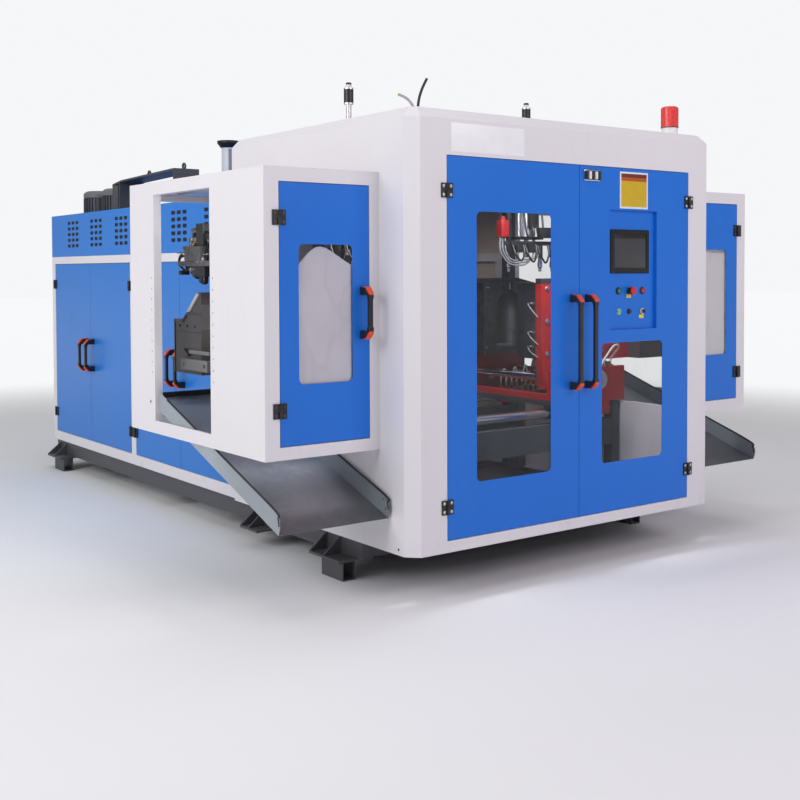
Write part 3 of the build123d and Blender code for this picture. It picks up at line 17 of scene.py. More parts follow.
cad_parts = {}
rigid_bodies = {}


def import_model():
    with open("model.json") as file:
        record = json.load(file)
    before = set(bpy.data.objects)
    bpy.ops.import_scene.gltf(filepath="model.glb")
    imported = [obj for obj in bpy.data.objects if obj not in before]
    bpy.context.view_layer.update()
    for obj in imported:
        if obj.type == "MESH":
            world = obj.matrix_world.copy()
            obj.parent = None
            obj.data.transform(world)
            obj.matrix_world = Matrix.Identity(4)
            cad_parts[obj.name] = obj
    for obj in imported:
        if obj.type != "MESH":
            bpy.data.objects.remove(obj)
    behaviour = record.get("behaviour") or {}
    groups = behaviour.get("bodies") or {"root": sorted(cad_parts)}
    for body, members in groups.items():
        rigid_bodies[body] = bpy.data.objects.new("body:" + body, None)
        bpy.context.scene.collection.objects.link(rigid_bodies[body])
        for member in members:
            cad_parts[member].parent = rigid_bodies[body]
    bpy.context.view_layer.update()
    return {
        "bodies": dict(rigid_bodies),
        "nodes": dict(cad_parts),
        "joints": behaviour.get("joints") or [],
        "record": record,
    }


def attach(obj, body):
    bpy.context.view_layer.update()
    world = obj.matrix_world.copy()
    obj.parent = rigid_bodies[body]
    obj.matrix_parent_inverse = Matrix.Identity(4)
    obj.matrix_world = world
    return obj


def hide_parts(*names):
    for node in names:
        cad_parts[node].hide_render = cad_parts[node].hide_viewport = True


LOG = logging.getLogger("blow_moulding_machine")

Point = tuple[float, float, float]
Pair = tuple[float, float]
Colour = tuple[float, float, float]
Profile = tuple[Pair, ...]
Path = tuple[Point, ...]
Key = Union[int, str]

UP: Point = (0.0, 0.0, 1.0)
DOWN: Point = (0.0, 0.0, -1.0)
FORWARD: Point = (0.0, -1.0, 0.0)
EVEN: Point = (1.0, 1.0, 1.0)
EVERYWHERE: Pair = (-9.0, 9.0)
BASE_BODY = "machine_base"


# Sizes that several sub-assemblies share, in metres


@dataclass(frozen=True)
class Layout:
    """Planes and places of the machine that several sub-assemblies share."""

    front: float = -2.207
    half: float = 1.0
    roof: float = 2.151
    wing_out: float = 1.5815
    wing_face: float = -1.977
    cabinet_side: float = 0.9715
    cabinet_top: float = 1.858
    cabinet_hinges: tuple[float, ...] = (1.661, 2.973, 3.044, 4.420)
    station_y: float = -1.173
    station_x: float = 0.620
    mould_opening: float = 0.144
    beacon: Pair = (0.855, -2.037)

    def back(self, distance: float) -> float:
        """Y of a point this far behind the front face."""
        return self.front + distance

    def station(self, half_width: float) -> Pair:
        """Y range round the stations' middle."""
        return around(self.station_y, half_width)


PLAN = Layout()


class Side(Enum):
    """Left or right half of the machine, seen by the operator."""

    LEFT = -1
    RIGHT = 1

    @property
    def word(self) -> str:
        """The side's name as the nodes and bodies spell it."""
        return self.name.lower()

    @property
    def outward(self) -> Point:
        """The way out on this side."""
        return (float(self.value), 0.0, 0.0)

    def span(self, near: float, far: float) -> Pair:
        """X range between two distances from the machine's middle."""
        return tuple(sorted((self.value * near, self.value * far)))


class Way(Enum):
    """Front or rear half of a station."""

    FRONT = -1
    REAR = 1

    @property
    def word(self) -> str:
        """The half's name as the nodes and bodies spell it."""
        return self.name.lower()

    @property
    def outward(self) -> Point:
        """The way from the parting plane to this half."""
        return (0.0, float(self.value), 0.0)


def around(middle: float, half_width: float) -> Pair:
    """Range round a middle."""
    return (middle - half_width, middle + half_width)


def moved(origin: Point, steps: Iterable[Point], turn: Point = EVEN) -> list[Point]:
    """Points given as steps from an origin, each step times the turn along each axis."""
    return [tuple(start + step * way for start, step, way in zip(origin, part, turn)) for part in steps]


def grown(points: Iterable[Point], growth: Iterable[Point], steps: int) -> list[Point]:
    """Points that each shift by their own growth with each step."""
    return [tuple(part + more * steps for part, more in zip(*pair)) for pair in zip(points, growth)]


def toned(colour: Colour, share: float, lift: float = 0.0) -> Colour:
    """A colour with each channel multiplied by a share and lifted."""
    return tuple(min(1.0, part * share + lift) for part in colour)


def add_object(name: str, data: bpy.types.ID) -> bpy.types.Object:
    """Makes an object and links it to the scene.

    Args:
        name: its name.
        data: its mesh, curve, lamp or camera.

    Returns:
        The object.
    """
    made = bpy.data.objects.new(name, data)
    bpy.context.scene.collection.objects.link(made)
    return made


# Shader graph


Number = Union[float, "Value"]


def operator(operation: str, reflected: bool = False) -> Callable[..., "Value"]:
    """Makes a method of Value that adds one Math node.

    Args:
        operation: the node's operation.
        reflected: whether the value is the second operand.

    Returns:
        The method.
    """

    def method(self: "Value", other: Number = 0.0) -> "Value":
        """Result of the operation on this value and another."""
        first, second = (other, self) if reflected else (self, other)
        return self.graph.node("ShaderNodeMath", {"operation": operation}, {0: first, 1: second})

    return method


class Value:
    """A number socket whose arithmetic adds Math nodes. Comparisons give 1 where they hold, else 0."""

    __add__ = operator("ADD")
    __radd__ = operator("ADD", reflected=True)
    __sub__ = operator("SUBTRACT")
    __rsub__ = operator("SUBTRACT", reflected=True)
    __mul__ = operator("MULTIPLY")
    __rmul__ = operator("MULTIPLY", reflected=True)
    __gt__ = operator("GREATER_THAN")
    __lt__ = operator("LESS_THAN")
    __abs__ = operator("ABSOLUTE")
    larger = operator("MAXIMUM")
    angle = operator("ARCTAN2")
    sine = operator("SINE")

    def __init__(self, graph: "Tree", socket: bpy.types.NodeSocket) -> None:
        """Wraps a socket.

        Args:
            graph: the tree that holds the socket.
            socket: the output socket.
        """
        self.graph = graph
        self.socket = socket

    def within(self, low: float, high: float) -> "Value":
        """1 between two limits, else 0."""
        return (self > low) * (self < high)


Input = Union[float, tuple, Value, bpy.types.NodeSocket]


class Tree:
    """A tree of shader nodes."""

    def __init__(self, tree: bpy.types.NodeTree) -> None:
        """Empties the tree.

        Args:
            tree: the tree of a material or world.
        """
        self.tree = tree
        self.tree.nodes.clear()

    def plug(self, node: bpy.types.Node, inputs: dict[Key, Input]) -> None:
        """Sets or links a node's inputs.

        Args:
            node: the node.
            inputs: socket names or numbers, with values, Values or sockets.
        """
        for key, value in inputs.items():
            socket = node.inputs[key]
            if isinstance(value, Value):
                self.tree.links.new(value.socket, socket)
            elif isinstance(value, bpy.types.NodeSocket):
                self.tree.links.new(value, socket)
            elif isinstance(value, tuple) and socket.type == "RGBA":
                socket.default_value = (*value, 1.0)
            else:
                socket.default_value = value

    def add(self, kind: str, settings: dict[str, str], inputs: dict[Key, Input]) -> bpy.types.Node:
        """Adds any node.

        Args:
            kind: the node's type.
            settings: its settings, such as a Math node's operation.
            inputs: the values or links of its sockets.

        Returns:
            The node.
        """
        node = self.tree.nodes.new(kind)
        for key, value in settings.items():
            setattr(node, key, value)
        self.plug(node, inputs)
        return node

    def node(
        self, kind: str, settings: dict[str, str], inputs: dict[Key, Input],
        output: Key = 0,
    ) -> Value:
        """Adds any node and gives one of its outputs.

        Args:
            kind: the node's type.
            settings: its settings.
            inputs: the values or links of its sockets.
            output: which output is wanted.

        Returns:
            The wanted output.
        """
        return Value(self, self.add(kind, settings, inputs).outputs[output])


class Graph(Tree):
    """One material's nodes."""

    def __init__(self, name: str) -> None:
        """Makes an empty material with a Principled shader.

        Args:
            name: the material's name.
        """
        self.material = bpy.data.materials.new(name)
        self.material.use_nodes = True
        super().__init__(self.material.node_tree)
        self.shader = self.add("ShaderNodeBsdfPrincipled", {}, {})
        self.add("ShaderNodeOutputMaterial", {}, {0: self.shader.outputs[0]})
        self.place = self.node("ShaderNodeTexCoord", {}, {}, "Object")

    def axis(self, letter: str) -> Value:
        """One coordinate, X, Y or Z, of the position in the piece's own frame."""
        return self.node("ShaderNodeSeparateXYZ", {}, {0: self.place}, letter)

    def facing(self, letter: str) -> Value:
        """One coordinate, X, Y or Z, of the surface's normal."""
        normal = self.node("ShaderNodeNewGeometry", {}, {}, "Normal")
        return self.node("ShaderNodeSeparateXYZ", {}, {0: normal}, letter)

    def noise(self, scale: float, detail: float = 3.0, stretch: Point = EVEN, rough: float = 0.55) -> Value:
        """Fractal noise over the position.

        Args:
            scale: features per metre.
            detail: octaves.
            stretch: how much the pattern is scaled along each axis.
            rough: how strong the fine octaves are.

        Returns:
            A value round 0.5.
        """
        spread = tuple(scale * part for part in stretch)
        where = self.node("ShaderNodeMapping", {}, {"Vector": self.place, "Scale": spread})
        return self.node(
            "ShaderNodeTexNoise", {}, {"Vector": where, "Scale": 1.0, "Detail": detail, "Roughness": rough}
        )

    def steps(self, value: Value, low: float, high: float) -> Value:
        """Value mapped to 0 below one limit and 1 above the other, smooth between.

        Args:
            value: the value.
            low: the lower limit.
            high: the upper limit.

        Returns:
            The mapped value.
        """
        return self.node(
            "ShaderNodeMapRange",
            {"interpolation_type": "SMOOTHSTEP"},
            {"Value": value, "From Min": low, "From Max": high, "To Min": 0.0, "To Max": 1.0},
        )

    def blend(self, factor: Number, first: Union[Colour, Value], second: Union[Colour, Value]) -> Value:
        """Mix of two colours, where the factor is the share of the second."""
        return self.node("ShaderNodeMix", {"data_type": "RGBA"}, {0: factor, 6: first, 7: second}, 2)

    def bump(self, height: Value, distance: float) -> Value:
        """Normal from a height pattern, with the metres that one unit of it stands for."""
        return self.node("ShaderNodeBump", {}, {"Height": height, "Distance": distance})

    def zoned(self, zones: Sequence["Zone"], base: Value, rough: Value, metal: float) -> dict[str, Number]:
        """Puts the finishes of zones over a finish.

        Args:
            zones: the zones, which lie apart from each other.
            base: colour outside them.
            rough: roughness outside them.
            metal: metallic share outside them.

        Returns:
            The shader's base colour, roughness and metallic inputs.
        """
        share: Number = metal
        for zone in zones:
            mask = zone.mask(self)
            base = self.blend(mask, base, zone.colour)
            rough = rough * (1 - mask) + mask * zone.roughness
            share = share * (1 - mask) + mask * zone.metallic
        return {"Base_Color": base, "Roughness": rough, "Metallic": share}

    def finish(self, **inputs: Input) -> bpy.types.Material:
        """Sets the shader's inputs, with underscores for spaces, and gives the material."""
        self.plug(self.shader, {key.replace("_", " "): value for key, value in inputs.items()})
        return self.material


# Finishes


class Finish(Protocol):
    """What every finish offers."""

    name: str

    def build(self) -> bpy.types.Material:
        """Makes the material.

        Returns:
            The material.
        """


BLACK: Colour = (0.014, 0.014, 0.016)
CHROME: Colour = (0.72, 0.73, 0.75)


@dataclass(frozen=True)
class Zone:
    """A box of the machine that has its own finish on a node, in metres."""

    colour: Colour
    x: Pair = EVERYWHERE
    y: Pair = EVERYWHERE
    z: Pair = EVERYWHERE
    roughness: float = 0.4
    metallic: float = 0.0
    both_sides: bool = False

    def mask(self, graph: Graph) -> Value:
        """1 inside the box.

        Args:
            graph: the material's graph.

        Returns:
            The mask.
        """
        inside = None
        for letter, limits in (("X", self.x), ("Y", self.y), ("Z", self.z)):
            if limits == EVERYWHERE:
                continue
            value = graph.axis(letter)
            if letter == "X" and self.both_sides:
                value = abs(value)
            part = value.within(*limits)
            inside = part if inside is None else inside * part
        return inside


@dataclass(frozen=True)
class PowderCoat:
    """Powder-coated sheet: fine orange peel, slight shade changes, scuffs and dust near the floor."""

    name: str
    colour: Colour
    scuff: Colour
    scuffing: float = 0.25
    roughness: float = 0.36
    peel: float = 0.00005
    dusty_below: Pair = (0.2, 0.75)
    zones: tuple[Zone, ...] = ()

    def build(self) -> bpy.types.Material:
        """Makes the material.

        Returns:
            The material.
        """
        graph = Graph(self.name)
        cloud = graph.noise(scale=1.6)
        wiped = graph.noise(scale=9.0, detail=6.0, stretch=(1.0, 1.0, 0.35), rough=0.7)
        smudge = graph.steps(wiped, 0.56, 0.74)
        scratch = graph.steps(graph.noise(scale=34.0, detail=2.0, stretch=(1.0, 1.0, 0.06)), 0.70, 0.78)
        low = 1 - graph.steps(graph.axis("Z"), *self.dusty_below)
        base = graph.blend(cloud, toned(self.colour, 0.93), self.colour)
        base = graph.blend(smudge * self.scuffing * (0.35 + low), base, self.scuff)
        base = graph.blend(scratch * self.scuffing * 0.5, base, self.scuff)
        rough = self.roughness + smudge * 0.12 + (cloud - 0.5) * 0.08
        peel = graph.noise(scale=420.0, detail=2.0)
        return graph.finish(
            **graph.zoned(self.zones, base, rough, 0.0), Normal=graph.bump(peel, self.peel), Coat_Weight=0.05,
            Coat_Roughness=0.2, Specular_IOR_Level=0.35,
        )


@dataclass(frozen=True)
class BareMetal:
    """Machined, drawn or polished metal with fine lines, finger marks and slight tarnish."""

    name: str
    colour: Colour
    tarnish: Colour
    roughness: float = 0.28
    lines: Point = EVEN
    line_scale: float = 260.0
    line_depth: float = 0.00002
    zones: tuple[Zone, ...] = ()
    metallic: float = 1.0

    def build(self) -> bpy.types.Material:
        """Makes the material.

        Returns:
            The material.
        """
        graph = Graph(self.name)
        stain = graph.steps(graph.noise(scale=14.0, detail=5.0, rough=0.65), 0.48, 0.72)
        line = graph.noise(scale=self.line_scale, detail=2.0, stretch=self.lines)
        base = graph.blend(stain * 0.65, self.colour, self.tarnish)
        rough = self.roughness + stain * 0.14 + (line - 0.5) * 0.16
        return graph.finish(
            **graph.zoned(self.zones, base, rough, self.metallic), Normal=graph.bump(line, self.line_depth)
        )


@dataclass(frozen=True)
class Galvanised:
    """Galvanised sheet: flat crystals, handling marks, streaks, a trough rubbed bright by the parts and
    lightened further with painted light, and flanges with a painted highlight.
    """

    name: str
    light: Colour = (0.185, 0.19, 0.215)
    dark: Colour = (0.095, 0.10, 0.115)
    # trough colour: wear of the sliding parts, lightened further with painted light against the wing roof's
    # shade
    rubbed: Colour = (0.56, 0.64, 0.76)
    # painted highlight on the faces that point along X, the flanges
    flange: Colour = (0.40, 0.445, 0.48)
    landing: Pair = (-1.80, -1.45)
    crystals: float = 75.0
    metallic: float = 0.55

    def build(self) -> bpy.types.Material:
        """Makes the material.

        Returns:
            The material.
        """
        graph = Graph(self.name)
        cells = {"Vector": graph.place, "Scale": self.crystals}
        spangle = graph.node("ShaderNodeTexVoronoi", {"feature": "F1"}, cells, "Color")
        shade = graph.node("ShaderNodeSeparateColor", {}, {0: spangle})
        streak = graph.noise(scale=7.0, detail=4.0, stretch=(1.0, 0.12, 0.12), rough=0.6)
        rub = graph.steps(graph.noise(scale=3.0, detail=5.0, rough=0.7), 0.5, 0.7)
        # trough mask: painted light over the wear of the sliding parts
        trough_wear_and_light_mask = graph.steps(graph.axis("Y"), *self.landing)
        facing = graph.facing("X")
        base = graph.blend(shade * 0.25 + streak * 0.6, self.dark, self.light)
        base = graph.blend(rub * 0.35, base, toned(self.light, 1.3))
        base = graph.blend(trough_wear_and_light_mask * (0.62 + rub * 0.30), base, self.rubbed)
        # painted highlight: faces that point along X, the flanges, are lightened
        base = graph.blend(graph.steps(facing * facing, 0.5, 0.9) * 0.8, base, self.flange)
        return graph.finish(
            Base_Color=base, Roughness=0.42 + shade * 0.1 - rub * 0.12, Metallic=self.metallic,
            Normal=graph.bump(shade * 0.5 + streak, 0.00004),
        )


@dataclass(frozen=True)
class Casting:
    """Painted casting or welded steel: coarse texture, oil film, dust on upper faces."""

    name: str
    colour: Colour
    dust: Colour = (0.25, 0.25, 0.26)
    dusting: float = 0.4
    roughness: float = 0.55
    grain: float = 0.0004
    zones: tuple[Zone, ...] = ()
    metallic: float = 0.0

    def build(self) -> bpy.types.Material:
        """Makes the material.

        Returns:
            The material.
        """
        graph = Graph(self.name)
        cloud = graph.noise(scale=5.0, detail=5.0, rough=0.65)
        grain = graph.noise(scale=130.0)
        settled = graph.steps(graph.facing("Z"), 0.35, 0.95) * graph.steps(cloud, 0.35, 0.65)
        base = graph.blend(cloud, toned(self.colour, 0.72), toned(self.colour, 1.12))
        base = graph.blend(settled * self.dusting, base, self.dust)
        rough = self.roughness + (cloud - 0.5) * 0.25 + settled * 0.15
        return graph.finish(
            **graph.zoned(self.zones, base, rough, self.metallic), Normal=graph.bump(grain, self.grain)
        )


@dataclass(frozen=True)
class Moulded:
    """Moulded plastic or rubber: fine grain with slight shine changes."""

    name: str
    colour: Colour
    roughness: float = 0.42
    grain: float = 0.00006
    worn: float = 0.12
    zones: tuple[Zone, ...] = ()

    def build(self) -> bpy.types.Material:
        """Makes the material.

        Returns:
            The material.
        """
        graph = Graph(self.name)
        cloud = graph.noise(scale=22.0, detail=4.0)
        grain = graph.noise(scale=900.0, detail=2.0)
        base = graph.blend(cloud * 0.6, self.colour, toned(self.colour, 1.25, 0.01))
        rough = self.roughness + (cloud - 0.5) * self.worn
        return graph.finish(**graph.zoned(self.zones, base, rough, 0.0), Normal=graph.bump(grain, self.grain))


@dataclass(frozen=True)
class HandleGrip:
    """Black grip with orange-red strips along the outer corners of its two end caps, sizes in metres."""

    name: str
    outer_face: float
    along: str
    low: float
    length: float
    cap_reach: float = 0.036
    cap_end: float = 0.002
    cap_depth: float = 0.020
    strip: Colour = (0.80, 0.075, 0.012)
    black: Colour = (0.012, 0.012, 0.014)
    worn: Colour = (0.03, 0.03, 0.034)

    def zone(self, graph: Graph) -> Value:
        """Mask of the two strips.

        Args:
            graph: the material's graph.

        Returns:
            1 on the strips.
        """
        out = self.outer_face - graph.axis(self.along)
        height = graph.axis("Z")
        strips = []
        for from_end in (height - self.low, (self.low + self.length) - height):
            corner = (out - from_end) > self.cap_reach
            strips.append(corner.larger((from_end < self.cap_end) * (out > self.cap_depth)))
        return strips[0].larger(strips[1])

    def build(self) -> bpy.types.Material:
        """Makes the material.

        Returns:
            The material.
        """
        graph = Graph(self.name)
        grain = graph.noise(scale=700.0, detail=2.0)
        cloud = graph.noise(scale=30.0)
        base = graph.blend(self.zone(graph), graph.blend(cloud, self.black, self.worn), self.strip)
        return graph.finish(Base_Color=base, Roughness=0.36 + cloud * 0.1, Normal=graph.bump(grain, 0.00005))


@dataclass(frozen=True)
class DoorSheet:
    """Blue door sheet whose hinge leaves are black and whose own grip is black with orange-red strips."""

    name: str
    colour: Colour
    face: float
    along: str
    grip: HandleGrip | None = None
    grip_span: Pair = (0.0, 0.0)
    grip_axis: str = "X"
    sheet_step: float = 0.0004

    def build(self) -> bpy.types.Material:
        """Makes the material.

        Returns:
            The material.
        """
        graph = Graph(self.name)
        cloud = graph.noise(scale=1.3)
        smudge = graph.steps(graph.noise(scale=8.0, detail=6.0, stretch=(1, 1, 0.5), rough=0.7), 0.55, 0.78)
        base = graph.blend(cloud, toned(self.colour, 0.86), self.colour)
        base = graph.blend(smudge * 0.10, base, toned(self.colour, 0.8, 0.12))
        rough = 0.34 + smudge * 0.12 + (cloud - 0.5) * 0.1
        proud = (self.face - graph.axis(self.along)) > self.sheet_step
        base = graph.blend(proud, base, BLACK)
        rough = rough * (1 - proud) + proud * 0.42
        if self.grip is not None:
            near = graph.axis(self.grip_axis).within(*self.grip_span)
            base = graph.blend(self.grip.zone(graph) * near * proud, base, self.grip.strip)
        peel = graph.noise(scale=420.0, detail=2.0)
        return graph.finish(
            Base_Color=base, Roughness=rough, Normal=graph.bump(peel, 0.00005), Coat_Weight=0.05,
            Coat_Roughness=0.15, Specular_IOR_Level=0.35,
        )


@dataclass(frozen=True)
class Pane:
    """Clear sheet: thin, slightly smoky, with wiping marks."""

    name: str
    tint: Colour = (0.035, 0.04, 0.045)
    wiped: Colour = (0.09, 0.095, 0.1)
    cover: float = 0.13

    def build(self) -> bpy.types.Material:
        """Makes the material.

        Returns:
            The material.
        """
        graph = Graph(self.name)
        wipe = graph.steps(graph.noise(scale=5.0, detail=5.0, stretch=(1.0, 1.0, 0.4), rough=0.7), 0.45, 0.75)
        return graph.finish(
            Base_Color=graph.blend(wipe, self.tint, self.wiped), Roughness=0.04 + wipe * 0.05,
            Alpha=self.cover + wipe * 0.05, IOR=1.5, Coat_Weight=0.6, Coat_Roughness=0.02,
        )


@dataclass(frozen=True)
class LensGlass:
    """Red beacon lens with upright ribs and fine rings."""

    name: str
    colour: Colour = (0.72, 0.004, 0.006)
    bright: Colour = (0.9, 0.03, 0.02)
    ribs: float = 36.0
    ring_pitch: float = 520.0

    def build(self) -> bpy.types.Material:
        """Makes the material.

        Returns:
            The material.
        """
        graph = Graph(self.name)
        turn = (graph.axis("X") - PLAN.beacon[0]).angle(graph.axis("Y") - PLAN.beacon[1])
        rib = (turn * self.ribs).sine()
        ring = (graph.axis("Z") * self.ring_pitch).sine()
        return graph.finish(
            Base_Color=graph.blend(graph.noise(scale=30.0), self.colour, self.bright),
            Roughness=0.12 + graph.noise(scale=40.0) * 0.06, Normal=graph.bump(rib + ring * 0.4, 0.0006),
            Coat_Weight=0.7, Coat_Roughness=0.05,
        )


@dataclass(frozen=True)
class PaperSkin:
    """White masking paper: faint fibres and shallow creases, which are darkened with painted shade."""

    name: str
    colour: Colour = (0.82, 0.79, 0.87)
    crease: Colour = (0.5, 0.5, 0.56)
    crease_width: float = 0.022

    def build(self) -> bpy.types.Material:
        """Makes the material.

        Returns:
            The material.
        """
        graph = Graph(self.name)
        ridge = abs(graph.noise(scale=3.4, detail=2.0, stretch=(1.0, 1.0, 0.55), rough=0.45) - 0.5)
        fold = 1 - graph.steps(ridge, 0.0, self.crease_width)
        cloud = graph.noise(scale=6.0, detail=5.0)
        base = graph.blend(cloud, toned(self.colour, 0.9), self.colour)
        # the creases are darkened with painted shade
        return graph.finish(
            Base_Color=graph.blend(fold * 0.14, base, self.crease), Roughness=0.62 + cloud * 0.1,
            Normal=graph.bump(cloud * 3 + fold * 0.6, 0.0018),
        )


@dataclass(frozen=True)
class FieldPlate:
    """Bare printed field: a frame round a coloured field with two bands on top."""

    name: str
    x: Pair
    z: Pair
    frame: Colour
    band: Colour
    ground: Colour
    lower_band: Colour
    border: float = 0.009
    band_height: float = 0.036

    def build(self) -> bpy.types.Material:
        """Makes the material.

        Returns:
            The material.
        """
        graph = Graph(self.name)
        inside = graph.axis("X").within(self.x[0] + self.border, self.x[1] - self.border)
        inside = inside * graph.axis("Z").within(self.z[0] + self.border, self.z[1] - self.border)
        start = self.z[1] - self.border - self.band_height
        top = graph.axis("Z") > start
        upper = graph.axis("Z") > (start + self.band_height / 2)
        fade = graph.noise(scale=18.0, detail=4.0)
        band = graph.blend(upper, self.lower_band, self.band)
        ground = graph.blend(top, graph.blend(fade * 0.6, self.ground, toned(self.ground, 0.72)), band)
        return graph.finish(
            Base_Color=graph.blend(inside, self.frame, ground), Roughness=0.3 + fade * 0.15,
            Normal=graph.bump(graph.noise(scale=300.0), 0.00003), Coat_Weight=0.1, Coat_Roughness=0.2,
            Specular_IOR_Level=0.3,
        )


class Paint:
    """Builds each finish once and hands it to pieces."""

    def __init__(self) -> None:
        """Starts with no materials."""
        self.made: dict[str, bpy.types.Material] = {}

    def get(self, finish: Finish) -> bpy.types.Material:
        """The material of a finish, made on first use.

        Args:
            finish: one of the finish classes.

        Returns:
            The material.
        """
        if finish.name not in self.made:
            self.made[finish.name] = finish.build()
        return self.made[finish.name]


PAINT = Paint()
FRAME: dict = {}

WHITE: Colour = (0.79, 0.765, 0.80)
BLUE: Colour = (0.008, 0.172, 0.72)
CABINET_BLUE: Colour = (0.016, 0.200, 0.68)
LINER: Colour = (0.68, 0.59, 0.50)
SIGNAL_RED: Colour = (0.62, 0.012, 0.012)
STATION_RED: Colour = (0.52, 0.016, 0.014)
RED_DUST: Colour = (0.30, 0.12, 0.11)
BLUE_SCUFF: Colour = (0.20, 0.34, 0.62)
SCUFF: Colour = (0.50, 0.48, 0.50)
CYLINDER: Colour = (0.66, 0.67, 0.69)

STEEL_BRIGHT = BareMetal("bright_steel", (0.62, 0.62, 0.63), (0.40, 0.39, 0.38), roughness=0.22)
ZINC = BareMetal("zinc_bolts", (0.66, 0.65, 0.62), (0.45, 0.44, 0.40), roughness=0.30)
BRASS = BareMetal("brass_fittings", (0.72, 0.46, 0.16), (0.42, 0.26, 0.10), roughness=0.26)
DULL_STEEL = BareMetal("dull_steel", (0.34, 0.32, 0.30), (0.17, 0.15, 0.13), roughness=0.36)
DARK_STEEL = BareMetal(
    "dark_steel", (0.10, 0.10, 0.105), (0.05, 0.048, 0.045), roughness=0.38, line_scale=160.0,
    line_depth=0.00008, metallic=0.85,
)
ALUMINIUM = BareMetal(
    "drawn_aluminium", (0.58, 0.59, 0.61), (0.42, 0.42, 0.44), roughness=0.30, lines=(1.0, 1.0, 0.05),
    line_scale=300.0,
)
BLACK_PLASTIC = Moulded("black_plastic", BLACK)
BLACK_GLOSS = Moulded("black_gloss", (0.008, 0.008, 0.010), roughness=0.12, grain=0.00002, worn=0.05)
RUBBER = Moulded("edge_rubber", (0.016, 0.016, 0.017), roughness=0.62, grain=0.00010)
HOSE_BLACK = Moulded("hose_black", (0.013, 0.013, 0.014), roughness=0.32)
HOSE_GREY = Moulded("hose_grey", (0.20, 0.20, 0.21), roughness=0.35)
HOSE_WHITE = Moulded("hose_white", (0.62, 0.62, 0.60), roughness=0.28)
TAG_YELLOW = Moulded("tag_yellow", (0.80, 0.58, 0.03), roughness=0.35)
MACHINE_RED = Casting("machine_red", (0.44, 0.014, 0.012), RED_DUST, 0.3, roughness=0.40, grain=0.0002)
DARK_CASTING = Casting("dark_casting", (0.085, 0.088, 0.095))


def button(name: str, colour: Colour, roughness: float, stem: float = 0.028) -> Moulded:
    """Shiny finish of a button whose stem behind the panel is black.

    Args:
        name: the finish's name.
        colour: the button's colour.
        roughness: its roughness.
        stem: distance behind the front face where the stem starts.

    Returns:
        The finish.
    """
    behind = Zone(BLACK, y=(PLAN.back(stem), PLAN.back(0.06)))
    return Moulded(name, colour, roughness, grain=0.00002, worn=0.06, zones=(behind,))


# Mesh building


